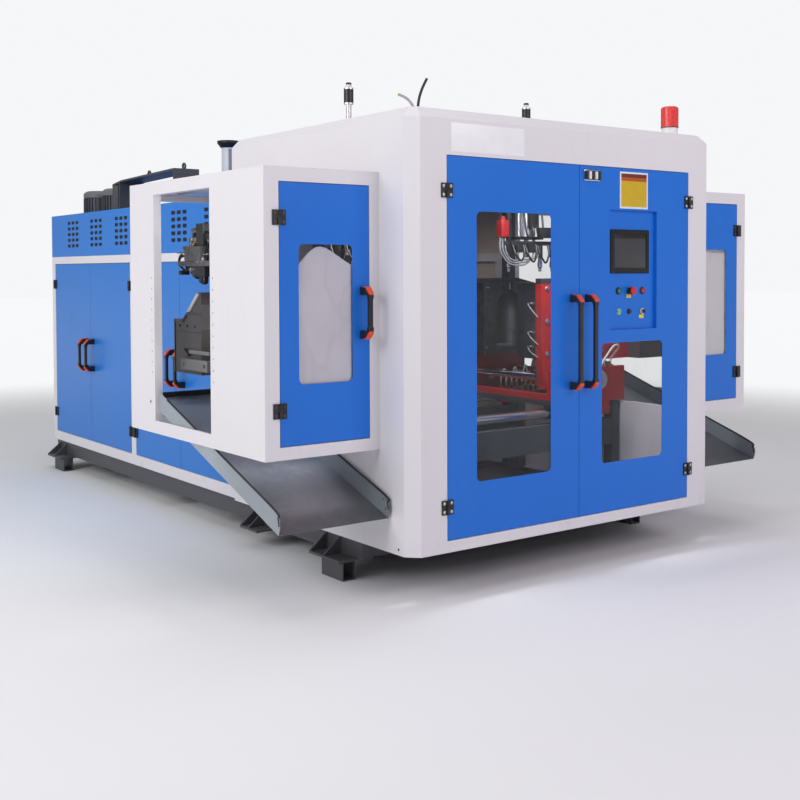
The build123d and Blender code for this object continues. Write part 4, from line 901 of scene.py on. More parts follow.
class Shape:
    """One piece, put together from bevelled blocks, turned parts, bent tubes and plates."""

    def __init__(self, name: str, finish: Finish, body: str = BASE_BODY) -> None:
        """Starts an empty mesh.

        Args:
            name: the piece's name.
            finish: its finish.
            body: the body that it moves with.
        """
        self.name = name
        self.finish = finish
        self.body = body
        self.mesh = bmesh.new()

    def _wall(self, first: list[bmesh.types.BMVert], second: list[bmesh.types.BMVert]) -> None:
        """Joins two loops with a band of faces.

        Args:
            first: vertices of the first loop.
            second: vertices of the second loop.
        """
        count = len(first)
        for step in range(count):
            after = (step + 1) % count
            self.mesh.faces.new((first[step], first[after], second[after], second[step]))

    def _skin(self, loops: list[list[bmesh.types.BMVert]]) -> None:
        """Joins loops in a row and closes both ends.

        Args:
            loops: the vertices of each loop.
        """
        for low, high in zip(loops, loops[1:]):
            self._wall(low, high)
        self.mesh.faces.new(list(reversed(loops[0])))
        self.mesh.faces.new(loops[-1])

    def _ring(self, centre: Vector, across: Vector, other: Vector, radius: float, sides: int) -> list:
        """Adds the vertices of one ring.

        Args:
            centre: its middle.
            across: first direction in its plane.
            other: second direction in its plane.
            radius: its radius.
            sides: number of vertices.

        Returns:
            The vertices.
        """
        turns = [2 * math.pi * step / sides for step in range(sides)]
        return [
            self.mesh.verts.new(centre + (across * math.cos(turn) + other * math.sin(turn)) * radius)
            for turn in turns
        ]

    def block(self, x: Pair, y: Pair, z: Pair, bevel: float = 0.0015) -> "Shape":
        """Adds a block with bevelled edges.

        Args:
            x: low and high X.
            y: low and high Y.
            z: low and high Z.
            bevel: width of the bevel.

        Returns:
            The shape.
        """
        size = Vector((x[1] - x[0], y[1] - y[0], z[1] - z[0]))
        middle = Vector((sum(x) / 2, sum(y) / 2, sum(z) / 2))
        stretch = Matrix.Translation(middle) @ Matrix.Diagonal((*size, 1))
        made = bmesh.ops.create_cube(self.mesh, size=1.0, matrix=stretch)
        edges = list({edge for vert in made["verts"] for edge in vert.link_edges})
        width = min(bevel, min(size) * 0.45)
        bmesh.ops.bevel(self.mesh, geom=edges, offset=width, segments=2, profile=0.6, affect="EDGES")
        return self

    def turned(self, start: Point, direction: Point, profile: Sequence[Pair], sides: int = 24) -> "Shape":
        """Adds a turned part.

        Args:
            start: the start of its axis.
            direction: the way the axis goes.
            profile: pairs of distance along the axis and radius.
            sides: faces round the axis.

        Returns:
            The shape.
        """
        axis = Vector(direction).normalized()
        helper = Vector((0, 0, 1)) if abs(axis.z) < 0.9 else Vector((1, 0, 0))
        across = axis.cross(helper).normalized()
        other = axis.cross(across)
        origin = Vector(start)
        self._skin([
            self._ring(origin + axis * along, across, other, radius, sides) for along, radius in profile
        ])
        return self

    def fitting(self, place: Point, direction: Point, radii: Point, ends: Point) -> "Shape":
        """Adds a six-sided screwed fitting: nut, neck and collar.

        Args:
            place: middle of its seat.
            direction: the way it faces.
            radii: radius of nut, neck and collar.
            ends: distance from the seat at which nut, neck and collar end.

        Returns:
            The shape.
        """
        chamfer = 0.002
        nut, neck, collar = radii
        nut_end, neck_end, collar_end = ends
        profile = (
            (0, nut), (nut_end, nut), (nut_end, neck), (neck_end, neck), (neck_end + chamfer, collar),
            (collar_end, collar),
        )
        return self.turned(place, direction, profile, 6)

    def bolt(self, place: Point, direction: Point, radius: float, height: float) -> "Shape":
        """Adds a domed bolt head on a washer with a recess.

        Args:
            place: middle of its seat.
            direction: the way it faces.
            radius: radius of the head.
            height: height of the head.

        Returns:
            The shape.
        """
        washer = height * 0.25
        return self.turned(place, direction, (
            (0, radius * 1.25), (washer, radius * 1.25), (washer, radius), (height * 0.7, radius * 0.92),
            (height, radius * 0.62), (height, radius * 0.4), (height * 0.45, radius * 0.38),
        ), 18)

    def hexagon(self, place: Point, direction: Point, radius: float, height: float) -> "Shape":
        """Adds a hexagon head on a washer.

        Args:
            place: middle of its seat.
            direction: the way it faces.
            radius: radius of the head.
            height: height of the head.

        Returns:
            The shape.
        """
        washer = height * 0.2
        self.turned(place, direction, ((0, radius * 1.3), (washer, radius * 1.3)), 20)
        start = Vector(place) + Vector(direction).normalized() * washer
        profile = ((0, radius), (height * 0.7, radius), (height * 0.8, radius * 0.86))
        return self.turned(tuple(start), direction, profile, 6)

    def tube(self, points: Sequence[Point], radius: float, sides: int = 8, rings: int = 6) -> "Shape":
        """Adds a bent tube through points, rounded by a Catmull-Rom line.

        Args:
            points: the points it passes through.
            radius: its radius.
            sides: faces round it.
            rings: rings for each run.

        Returns:
            The shape.
        """
        known = [Vector(point) for point in points]
        padded = [known[0] * 2 - known[1], *known, known[-1] * 2 - known[-2]]
        line = []
        for a, b, c, d in zip(padded, padded[1:], padded[2:], padded[3:]):
            for step in range(rings):
                t = step / rings
                square = 2 * a - 5 * b + 4 * c - d
                cube = 3 * b - a - 3 * c + d
                line.append(0.5 * (2 * b + (c - a) * t + square * t * t + cube * t**3))
        line.append(known[-1])
        normal = (line[1] - line[0]).orthogonal().normalized()
        loops = []
        for index, centre in enumerate(line):
            ahead = (line[min(index + 1, len(line) - 1)] - line[max(index - 1, 0)]).normalized()
            normal = (normal - ahead * normal.dot(ahead)).normalized()
            loops.append(self._ring(centre, normal, ahead.cross(normal), radius, sides))
        self._skin(loops)
        return self

    def prism(self, outline: Sequence[Point], offset: Point) -> "Shape":
        """Adds a plate of any outline.

        Args:
            outline: its corners, in order.
            offset: from the first face to the second.

        Returns:
            The shape.
        """
        first = [self.mesh.verts.new(Vector(point)) for point in outline]
        second = [self.mesh.verts.new(Vector(point) + Vector(offset)) for point in outline]
        self.mesh.faces.new(first)
        self.mesh.faces.new(list(reversed(second)))
        self._wall(second, first)
        return self

    def build(self) -> bpy.types.Object:
        """Makes the object and lets it ride.

        Returns:
            The object.
        """
        bmesh.ops.recalc_face_normals(self.mesh, faces=self.mesh.faces)
        data = bpy.data.meshes.new(self.name)
        self.mesh.to_mesh(data)
        self.mesh.free()
        data.materials.append(PAINT.get(self.finish))
        data.shade_smooth()
        data.set_sharp_from_angle(angle=math.radians(38))
        piece = add_object(self.name, data)
        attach(piece, self.body)
        return piece


# Sub-assemblies


@dataclass(frozen=True)
class Lamp:
    """One soft lamp: where it hangs, where it points, its width and height in metres, its watts and tint."""

    name: str
    place: Point
    target: Point
    size: Pair
    power: float
    tint: Colour = EVEN

    def build(self) -> None:
        """Adds the lamp."""
        data = bpy.data.lights.new(self.name, "AREA")
        data.shape = "RECTANGLE"
        data.size, data.size_y = self.size
        data.energy = self.power
        data.color = self.tint
        place = Vector(self.place)
        turn = (Vector(self.target) - place).to_track_quat("-Z", "Y").to_matrix().to_4x4()
        add_object(self.name, data).matrix_world = Matrix.Translation(place) @ turn


@dataclass(frozen=True)
class Studio:
    """Camera, floor, world and lamps."""

    place: Point = (-3.8896, -6.0531, 1.4404)
    yaw: float = 36.419
    pitch: float = -1.843
    roll: float = -0.20
    lens: float = 50.89
    shift: Pair = (-0.0012, -0.1150)
    sky_seen: float = 0.94
    sky_light: float = 0.36
    sky_tint: Colour = (0.98, 0.985, 1.0)
    fade: Pair = (4.0, 9.0)
    floor_reach: float = 60.0
    floor_tones: tuple[Colour, Colour] = ((0.86, 0.86, 0.87), (0.89, 0.89, 0.90))
    lamps: tuple[Lamp, ...] = (
        Lamp("side_lamp", (-7.5, -1.5, 4.2), (0, 0, 1.0), (5.0, 3.5), 262.0),
        Lamp("front_lamp", (1.5, -8.0, 4.6), (0.2, -1.5, 1.0), (5.0, 3.0), 150.0, (1.0, 0.89, 1.0)),
        Lamp("top_lamp", (0.0, 0.0, 6.5), (0, 0, 0), (6.0, 6.0), 132.0),
        Lamp("inside_front", (0.0, -1.95, 2.02), (0.0, -1.3, 1.0), (1.4, 0.25), 24.0),
        Lamp("inside_left", (-1.3, -1.75, 1.80), (-1.2, -1.2, 0.9), (0.4, 0.25), 5.0),
    )

    def camera(self) -> None:
        """Sets the camera at the photograph's viewpoint."""
        yaw, pitch, roll = (math.radians(angle) for angle in (self.yaw, self.pitch, self.roll))
        ahead = Vector((math.sin(yaw) * math.cos(pitch), math.cos(yaw) * math.cos(pitch), math.sin(pitch)))
        level = Vector((math.cos(yaw), -math.sin(yaw), 0))
        above = level.cross(ahead)
        right = level * math.cos(roll) + above * math.sin(roll)
        up = -level * math.sin(roll) + above * math.cos(roll)
        data = bpy.data.cameras.new("camera")
        data.lens = self.lens
        data.sensor_width = 36.0
        data.sensor_fit = "HORIZONTAL"
        data.shift_x, data.shift_y = self.shift
        data.clip_end = 200.0
        camera = add_object("camera", data)
        turn = Matrix((right, up, -ahead)).transposed().to_4x4()
        camera.matrix_world = Matrix.Translation(Vector(self.place)) @ turn
        bpy.context.scene.camera = camera

    def floor(self) -> None:
        """Adds the pale floor, which fades into the world's brightness far from the machine."""
        graph = Graph("studio_floor")
        cloud = graph.noise(scale=0.6)
        across, along = graph.axis("X"), graph.axis("Y")
        far = graph.steps(across * across + along * along, self.fade[0] ** 2, self.fade[1] ** 2)
        dark = (0.0, 0.0, 0.0)
        material = graph.finish(
            Base_Color=graph.blend(far, graph.blend(cloud, *self.floor_tones), dark),
            Roughness=0.75 + cloud * 0.1,
            Emission_Color=graph.blend(far, dark, toned(self.sky_tint, self.sky_seen)),
            Emission_Strength=1.0, Specular_IOR_Level=0.1,
        )
        data = bpy.data.meshes.new("studio_floor")
        reach = self.floor_reach
        corners = [(-reach, -reach, 0), (reach, -reach, 0), (reach, reach, 0), (-reach, reach, 0)]
        data.from_pydata(corners, [], [(0, 1, 2, 3)])
        data.materials.append(material)
        floor = add_object("studio_floor", data)

    def world(self) -> None:
        """Sets a pale world: dimmer as light than to the eye and through clear surfaces."""
        world = bpy.data.worlds.new("studio_world")
        bpy.context.scene.world = world
        world.use_nodes = True
        tree = Tree(world.node_tree)
        eye = tree.node("ShaderNodeLightPath", {}, {}, "Is Camera Ray")
        seen = eye.larger(tree.node("ShaderNodeLightPath", {}, {}, "Is Transmission Ray"))
        limits = {"Value": seen, "To Min": self.sky_light, "To Max": self.sky_seen}
        strength = tree.node("ShaderNodeMapRange", {}, limits)
        glow = tree.node("ShaderNodeBackground", {}, {"Color": self.sky_tint, "Strength": strength})
        tree.add("ShaderNodeOutputWorld", {}, {0: glow})

    def build(self) -> None:
        """Builds the studio."""
        self.camera()
        self.floor()
        self.world()
        for lamp in self.lamps:
            lamp.build()
        bpy.context.scene.view_settings.view_transform = "Standard"


@dataclass(frozen=True)
class RoofCables:
    """Two short cut cables that stand out of the roof near its front left corner.

    Each route is given as X, distance behind the front face and height over the roof.
    """

    diameter: float = 0.012
    left: Path = (
        (-0.9122, 0.092, 0.0), (-0.920, 0.092, 0.014), (-0.940, 0.091, 0.032), (-0.966, 0.090, 0.044),
        (-0.996, 0.088, 0.050),
    )
    right: Path = (
        (-0.8896, 0.0905, 0.0), (-0.888, 0.091, 0.024), (-0.878, 0.091, 0.060), (-0.862, 0.090, 0.098),
        (-0.842, 0.088, 0.132),
    )
    lengths: Pair = (0.104, 0.142)
    grey: Finish = Moulded("sheath_grey", (0.42, 0.42, 0.43), roughness=0.45)
    black: Finish = Moulded("sheath_black", (0.014, 0.014, 0.015), roughness=0.45)
    gland: Profile = ((0, 0.0115), (0.003, 0.0115), (0.006, 0.009), (0.006, 0.0063))
    outer_strands: int = 6
    strand_spread: float = 0.0026
    strand_inside: float = 0.010
    strand: Profile = ((0, 0.0013), (0.0115, 0.0013), (0.012, 0.0008))

    def route(self, points: Iterable[Point]) -> list[Point]:
        """Points in the machine's frame."""
        return moved((0.0, PLAN.front, PLAN.roof), points)

    def sheath(self, name: str, points: list[Point], finish: Finish) -> bpy.types.Object:
        """Adds a cable's sheath.

        Args:
            name: the node that it stands for.
            points: its route.
            finish: its finish.

        Returns:
            The sheath.
        """
        data = bpy.data.curves.new(name + "_run", "CURVE")
        data.dimensions = "3D"
        data.bevel_depth = self.diameter / 2
        data.bevel_resolution = 4
        data.use_fill_caps = True
        spline = data.splines.new("NURBS")
        spline.points.add(len(points) - 1)
        for knot, point in zip(spline.points, points):
            knot.co = (*point, 1.0)
        spline.order_u = 3
        spline.use_endpoint_u = True
        spline.resolution_u = 12
        data.materials.append(PAINT.get(finish))
        run = add_object(name + "_run", data)
        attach(run, "machine_base")
        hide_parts(name)
        return run

    def strands(self, name: str, points: list[Point]) -> bpy.types.Object:
        """Adds the bared wires at a cable's end.

        Args:
            name: the cable's node.
            points: the cable's route.

        Returns:
            The wires.
        """
        end = Vector(points[-1])
        way = (end - Vector(points[-2])).normalized()
        side = way.orthogonal().normalized()
        start = end - way * self.strand_inside
        wires = Shape(name + "_strands", BRASS)
        for step in range(self.outer_strands):
            turn = 2 * math.pi * step / self.outer_strands
            offset = (side * math.cos(turn) + way.cross(side) * math.sin(turn)) * self.strand_spread
            wires.turned(tuple(start + offset), tuple(way), self.strand, 8)
        wires.turned(tuple(start), tuple(way), self.strand, 8)
        return wires.build()

    def cable(self, name: str, points: list[Point], finish: Finish) -> None:
        """Adds one cable with its bared end.

        Args:
            name: the node that it stands for.
            points: its route.
            finish: its sheath's finish.
        """
        run = self.sheath(name, points, finish)
        tip = self.strands(name, points)

    def build(self) -> None:
        """Builds both cables."""
        left, right = self.route(self.left), self.route(self.right)
        self.cable("roof_cable_left", left, self.grey)
        self.cable("roof_cable_right", right, self.black)
        glands = Shape("roof_cable_glands", RUBBER)
        for points in (left, right):
            glands.turned(points[0], UP, self.gland, 20)
        glands.build()


@dataclass(frozen=True)
class NodeFinishes:
    """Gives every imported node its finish."""

    grips: tuple[HandleGrip, ...] = (
        HandleGrip("front_grip", PLAN.front, "Y", low=0.876, length=0.452),
        HandleGrip("wing_grip", PLAN.wing_face, "Y", low=1.148, length=0.227),
        HandleGrip("cabinet_grip", -PLAN.cabinet_side, "X", low=0.760, length=0.223),
    )
    wing_grip_x: Pair = (1.06, 1.12)
    cabinet_grip_reach: float = 0.09
    rail_offset: float = 0.394
    rail_radius: float = 0.0254
    tie_offset: float = 0.150
    tie_radius: float = 0.0204
    tie_reach: float = 0.4035
    cylinder_reach: Pair = (0.4345, 0.60)

    def dress(self, finishes: dict[str, Finish]) -> None:
        """Puts finishes on all material slots of nodes.

        Args:
            finishes: a finish for each pattern of node names.
        """
        for pattern, finish in finishes.items():
            material = PAINT.get(finish)
            for node, target in FRAME["nodes"].items():
                if not fnmatchcase(node, pattern):
                    continue
                if not target.material_slots:
                    target.data.materials.append(material)
                for slot in target.material_slots:
                    slot.material = material

    def housings(self) -> None:
        """Panels, wings, roof, cabinets and the base."""
        depth = (PLAN.back(1.594), PLAN.back(4.4812))
        lining = Zone(LINER, x=(-0.9690, 0.9690), y=depth, z=(0.0, 1.8553), roughness=0.5)
        white = PowderCoat("panel_white", WHITE, SCUFF)
        self.dress({
            "enclosure_*": white,
            "wing_*_shell": white,
            "cabinet_frame": PowderCoat("cabinet_posts", WHITE, SCUFF),
            "cabinet_panels": PowderCoat("cabinet_blue", CABINET_BLUE, BLUE_SCUFF, 0.15, zones=(lining,)),
            "base_frame": Casting("base_paint", (0.080, 0.080, 0.088), (0.20, 0.20, 0.21), 0.35, 0.5),
            "chute_*": Galvanised("galvanised_sheet"),
            "door_hinges": Moulded("hinge_black", BLACK),
            "beacon_base": Moulded("white_plastic", (0.78, 0.78, 0.78), 0.32),
            "beacon_lens": LensGlass("red_lens"),
            "roof_equipment": Casting("pump_casting", (0.065, 0.068, 0.075), (0.30, 0.30, 0.31), 0.5, 0.5),
            "hydraulic_tank": Casting("tank_paint", (0.10, 0.105, 0.115)),
        })

    def doors(self) -> None:
        """Door sheets, panes and grips."""
        front_grip, wing_grip, cabinet_grip = self.grips
        self.dress({
            "front_door_*": DoorSheet("front_door_blue", BLUE, PLAN.front, "Y"),
            "front_handle_*": front_grip,
            "front_window_*": Pane("clear_front"),
            "wing_window_*": Pane("clear_wing", cover=0.10),
        })
        for side in Side:
            near = side.span(*self.wing_grip_x)
            self.dress({f"wing_door_{side.word}": DoorSheet(
                f"wing_door_blue_{side.word}", BLUE, PLAN.wing_face, "Y", wing_grip, near
            )})
        for pair, numbers in ((1, "12"), (2, "34")):
            split = sum(PLAN.cabinet_hinges[2 * pair - 2:2 * pair]) / 2
            near = (PLAN.back(split - self.cabinet_grip_reach), PLAN.back(split + self.cabinet_grip_reach))
            self.dress({f"cabinet_door_[{numbers}]": DoorSheet(
                f"cabinet_door_blue_{pair}", CABINET_BLUE, -PLAN.cabinet_side, "X", cabinet_grip, near, "Y"
            )})

    def controls(self) -> None:
        """Screen and buttons."""
        barrel = Zone(CHROME, y=(PLAN.back(0.0085), PLAN.back(0.05)), roughness=0.2, metallic=1.0)
        self.dress({
            "hmi_screen": BLACK_GLOSS,
            "button_start": button("green_button", (0.01, 0.22, 0.09), 0.20),
            "button_stop": button("red_button", SIGNAL_RED, 0.22),
            "emergency_stop": button("stop_mushroom", SIGNAL_RED, 0.22, stem=-0.012),
            "button_heat": button("green_lit", (0.08, 0.55, 0.16), 0.18),
            "button_reset": BLACK_PLASTIC,
            "key_selector": Moulded("selector_black", BLACK, 0.35, zones=(barrel,)),
        })

    def carriage_zones(self, side: Side) -> tuple[Zone, ...]:
        """Bright tie bars and cylinders and the dark frame of a carriage.

        Args:
            side: the station's side.

        Returns:
            The zones.
        """
        middle = side.value * PLAN.station_x
        ties = tuple(
            Zone(CHROME, around(middle + offset, self.tie_radius), PLAN.station(self.tie_reach),
                 (0.8295, 0.8705), roughness=0.16, metallic=1.0)
            for offset in (-self.tie_offset, self.tie_offset)
        )
        near, far = self.cylinder_reach
        cylinders = tuple(
            Zone(CYLINDER, y=(PLAN.station_y + low, PLAN.station_y + high), z=(0.80, 0.90), roughness=0.22,
                 metallic=1.0)
            for low, high in ((-far, -near), (near, far))
        )
        frame = Zone((0.045, 0.048, 0.052), x=(0.30, 0.665), z=(0.60, 0.735), roughness=0.5, both_sides=True)
        return (*ties, *cylinders, frame)

    def platen_zones(self) -> tuple[Zone, ...]:
        """Nest, its recess, guide shoes and top bar of a platen.

        Returns:
            The zones.
        """
        return (
            Zone((0.105, 0.094, 0.090), x=(1.0985, 1.60), roughness=0.42, metallic=0.35, both_sides=True),
            Zone((0.36, 0.36, 0.36), (1.340, 1.3972), PLAN.station(0.1443), (1.160, 1.280), roughness=0.3,
                 metallic=0.8, both_sides=True),
            Zone((0.55, 0.56, 0.58), x=(0.60, 0.64), z=(0.78, 0.8152), roughness=0.2, metallic=1.0,
                 both_sides=True),
            Zone((0.11, 0.11, 0.12), x=(0.40, 1.0980), z=(1.369, 1.402), roughness=0.35, metallic=0.7,
                 both_sides=True),
        )

    def stations(self) -> None:
        """Carriages, platens, moulds, blow pins and deflash heads of both stations."""
        platen = Casting("platen_red_and_nest", STATION_RED, RED_DUST, 0.3, 0.36, 0.0002, self.platen_zones())
        mould = BareMetal(
            "mould_alloy", (0.17, 0.175, 0.185), (0.07, 0.07, 0.075), 0.30, (1, 0.3, 0.05), 200, metallic=0.9
        )
        pin = BareMetal(
            "blow_pin_chrome", (0.72, 0.72, 0.73), (0.62, 0.62, 0.63), 0.36, (0.2, 0.2, 1.0), 60.0, 0.0, (
                Zone(BLACK, z=(2.311, 2.380), roughness=0.35),
                Zone((0.70, 0.69, 0.66), z=(2.3885, 2.404)),
                Zone(BLACK, z=(2.404, 2.50), roughness=0.35),
                Zone((0.09, 0.09, 0.095), z=(1.5595, 1.5865), roughness=0.35, metallic=0.8),
            ),
        )
        deflash = BareMetal(
            "deflash_steel", (0.17, 0.165, 0.165), (0.08, 0.075, 0.07), 0.40, line_scale=160.0,
            line_depth=0.00008, metallic=0.7,
        )
        self.dress({"platen_*": platen, "mould_*": mould, "blow_pin_*": pin, "deflash_head_*": deflash})
        for side in Side:
            zones = self.carriage_zones(side)
            self.dress({f"carriage_{side.word}": Casting(
                f"carriage_red_{side.word}", STATION_RED, RED_DUST, 0.3, 0.36, 0.0002, zones
            )})

    def machinery(self) -> None:
        """The stations' fixed parts, the extruder and its hopper."""
        rails = tuple(
            Zone(CHROME, (-0.886, 0.886), around(place, self.rail_radius), (0.6395, 0.6905), roughness=0.16,
                 metallic=1.0)
            for place in PLAN.station(self.rail_offset)
        )
        caps = (Zone(BLACK, z=(1.839, 1.90)), Zone(BLACK, z=(1.622, 1.6415)))
        cone = Zone(BLACK, z=(2.341, 2.40), roughness=0.5)
        self.dress({
            "station_frame": Casting("station_grey", (0.070, 0.085, 0.088), zones=rails),
            "station_cylinders": BareMetal(
                "cylinder_barrels", CYLINDER, (0.50, 0.50, 0.52), 0.36, (1, 1, 0.06), 300.0, 0.000003, caps
            ),
            "die_head": BareMetal("die_steel", (0.42, 0.41, 0.40), (0.20, 0.17, 0.14), 0.35),
            "extruder_barrel": BareMetal("heater_bands", (0.55, 0.54, 0.52), (0.34, 0.31, 0.27), 0.34),
            "extruder_screw": STEEL_BRIGHT,
            "extruder_drive": Casting("drive_paint", (0.10, 0.15, 0.20)),
            "feed_hopper": PowderCoat("hopper_white", (0.74, 0.74, 0.75), (0.45, 0.44, 0.44), zones=(cone,)),
        })

    def build(self) -> None:
        """Dresses all nodes."""
        self.housings()
        self.doors()
        self.controls()
        self.stations()
        self.machinery()


@dataclass(frozen=True)
class HingeBolts:
    """Four bolts on every hinge, two for each leaf: pale on the front doors, dark elsewhere."""

    leaf: float = 0.020
    rise: float = 0.019
    sheet: float = 0.005
    head_radius: float = 0.0058
    head_height: float = 0.0036
    front_hinge: float = 0.803
    wing_hinge: float = 1.5105
    front_heights: Pair = (0.406, 1.793)
    wing_heights: Pair = (0.860, 1.667)
    cabinet_heights: Pair = (0.415, 1.355)

    def pair(self, shape: Shape, place: Point, outward: Point) -> None:
        """Adds a leaf's two bolts.

        Args:
            shape: the piece that they go on.
            place: the leaf's middle on its outer face.
            outward: the way they face.
        """
        for centre in moved(place, ((0, 0, -self.rise), (0, 0, self.rise))):
            shape.bolt(centre, outward, self.head_radius, self.head_height)

    def front_facing(self, frame: Shape, door: Shape, side: Side, hinge: Pair, heights: Pair) -> None:
        """Adds the bolts of a door that faces the operator.

        Args:
            frame: the piece on the frame.
            door: the piece on the door.
            side: the door's side.
            hinge: distance of the hinge from the machine's middle, and Y of the sheet's face.
            heights: heights of its hinges.
        """
        across, face = hinge
        for height in heights:
            self.pair(frame, (side.value * (across + self.leaf), face - self.sheet, height), FORWARD)
            self.pair(door, (side.value * (across - self.leaf), face - self.sheet, height), FORWARD)

    def build(self) -> None:
        """Builds all hinge bolts."""
        fixed = Shape("hinge_bolts_frame", ZINC)
        dark = Shape("hinge_bolts_frame_dark", DARK_STEEL)
        doors = []
        for side in Side:
            front = Shape(f"hinge_bolts_front_{side.word}", ZINC, f"front_door_{side.word}")
            wing = Shape(f"hinge_bolts_wing_{side.word}", DARK_STEEL, f"wing_door_{side.word}")
            self.front_facing(fixed, front, side, (self.front_hinge, PLAN.front), self.front_heights)
            self.front_facing(dark, wing, side, (self.wing_hinge, PLAN.wing_face), self.wing_heights)
            doors += [front, wing]
        face = -PLAN.cabinet_side - self.sheet
        for number, hinge in enumerate(PLAN.cabinet_hinges, start=1):
            door = Shape(f"hinge_bolts_cabinet_{number}", DARK_STEEL, f"cabinet_door_{number}")
            leaf = self.leaf if number % 2 else -self.leaf
            for height in self.cabinet_heights:
                self.pair(dark, (face, PLAN.back(hinge - leaf), height), Side.LEFT.outward)
                self.pair(door, (face, PLAN.back(hinge + leaf), height), Side.LEFT.outward)
            doors.append(door)
        for shape in (*doors, fixed, dark):
            shape.build()


@dataclass(frozen=True)
class ControlField:
    """Screen glass, button bezels, tags, bare warning field, roller catch and bare name plate."""

    body: str = "front_door_right"
    field_seat: float = 0.018
    screen_seat: float = 0.0112
    plate_thick: float = 0.0010
    plate_bevel: float = 0.0004
    columns: Point = (0.298, 0.375, 0.471)
    rows: Pair = (1.341, 1.238)
    ring_radii: Path = ((0.0185, 0.0168, 0.0185), (0.0168, 0.0135, 0.0168))
    silver: tuple[tuple[int, int], ...] = ((1, 0), (1, 2))
    button_radius: float = 0.0114
    tag_shifts: tuple[tuple[int, int, float], ...] = ((0, 1, -0.003), (1, 2, -0.006))
    tag_drop: float = 0.0175
    tag_size: Pair = (0.032, 0.018)
    screen_x: Pair = (0.257, 0.492)
    screen_z: Pair = (1.451, 1.621)
    warning_x: Pair = (0.2875, 0.4905)
    warning_z: Pair = (1.7480, 1.9290)
    catch_x: Pair = (0.0385, 0.1425)
    catch_z: Pair = (1.874, 1.925)
    catch_thick: float = 0.003
    roller: Profile = (
        (0, 0.004), (0, 0.0085), (0.002, 0.0095), (0.035, 0.0095), (0.037, 0.0085), (0.037, 0.004),
    )
    plate_x: Pair = (-0.7775, -0.3475)
    plate_z: Pair = (1.965, 2.090)

    def sheet(self, name: str, finish: Finish, body: str, x: Pair, z: Pair) -> None:
        """Adds a thin plate on the front face.

        Args:
            name: the piece's name.
            finish: its finish.
            body: the body that it moves with.
            x: its X range.
            z: its Z range.
        """
        plate = Shape(name, finish, body)
        plate.block(x, (PLAN.front - self.plate_thick, PLAN.front), z, self.plate_bevel).build()

    def screen(self) -> None:
        """Adds the display's glass inside the bezel."""
        face = PLAN.back(self.screen_seat)
        edge = (0.012, 0.013, 0.016)
        glass = FieldPlate(
            "display_glass", self.screen_x, self.screen_z, frame=(0.010, 0.010, 0.012), band=edge,
            ground=(0.055, 0.056, 0.064), lower_band=edge, border=0.006, band_height=0.014,
        )
        display = Shape("display", glass, self.body)
        display.block(self.screen_x, (face - 0.0008, face), self.screen_z, self.plate_bevel).build()

    def bezels(self) -> None:
        """Adds a ring round each button, with tags under two of them."""
        silver = Shape("button_rings", STEEL_BRIGHT, self.body)
        dark = Shape("button_collars", BLACK_PLASTIC, self.body)
        tags = Shape("button_tags", TAG_YELLOW, self.body)
        seat = PLAN.back(self.field_seat)
        for row, height in enumerate(self.rows):
            for column, across in enumerate(self.columns):
                ring = silver if (row, column) in self.silver else dark
                wide = self.ring_radii[row][column]
                ring.turned((across, seat, height), FORWARD, (
                    (0, wide), (0.0025, wide), (0.0050, wide - 0.0018), (0.0050, self.button_radius),
                    (0.0, self.button_radius),
                ), 28)
        width, height = self.tag_size
        for row, column, shift in self.tag_shifts:
            top = self.rows[row] - self.tag_drop
            span = around(self.columns[column] + shift, width / 2)
            tags.block(span, (seat - 0.0012, seat), (top - height, top), 0.0005)
        for shape in (silver, dark, tags):
            shape.build()

    def fields(self) -> None:
        """Adds the bare warning field and the bare name plate."""
        warning = FieldPlate(
            "warning_field", self.warning_x, self.warning_z, frame=(0.78, 0.78, 0.80),
            band=(0.16, 0.028, 0.012), ground=(0.68, 0.46, 0.018), lower_band=(0.46, 0.090, 0.016),
        )
        plate = Moulded("name_plate_white", (0.83, 0.83, 0.86), roughness=0.30, grain=0.00002, worn=0.05)
        self.sheet("warning_field", warning, self.body, self.warning_x, self.warning_z)
        self.sheet("name_plate", plate, BASE_BODY, self.plate_x, self.plate_z)

    def catch(self) -> None:
        """Adds the roller catch at the top of the right door."""
        low, high = self.catch_x
        bottom, top = self.catch_z
        face = PLAN.front - self.catch_thick
        metal = Shape("catch_plate", STEEL_BRIGHT, self.body)
        metal.block(self.catch_x, (face, PLAN.front), self.catch_z, 0.001)
        posts = Shape("catch_posts", BLACK_PLASTIC, self.body)
        for across in (low + 0.010, low + 0.052, high - 0.008):
            posts.block(around(across, 0.007), (face - 0.013, face), (bottom + 0.004, top - 0.004), 0.001)
        for edge in (bottom + 0.004, top - 0.008):
            posts.block((low + 0.004, high - 0.004), (face - 0.011, face), (edge, edge + 0.004), 0.001)
        rollers = Shape("catch_rollers", Moulded("roller_white", (0.72, 0.72, 0.73), 0.35), self.body)
        for across in (low + 0.031, high - 0.031):
            rollers.turned((across, face - 0.007, bottom + 0.007), UP, self.roller, 20)
        for shape in (metal, posts, rollers):
            shape.build()

    def build(self) -> None:
        """Builds the control field's dressing."""
        self.screen()
        self.bezels()
        self.fields()
        self.catch()


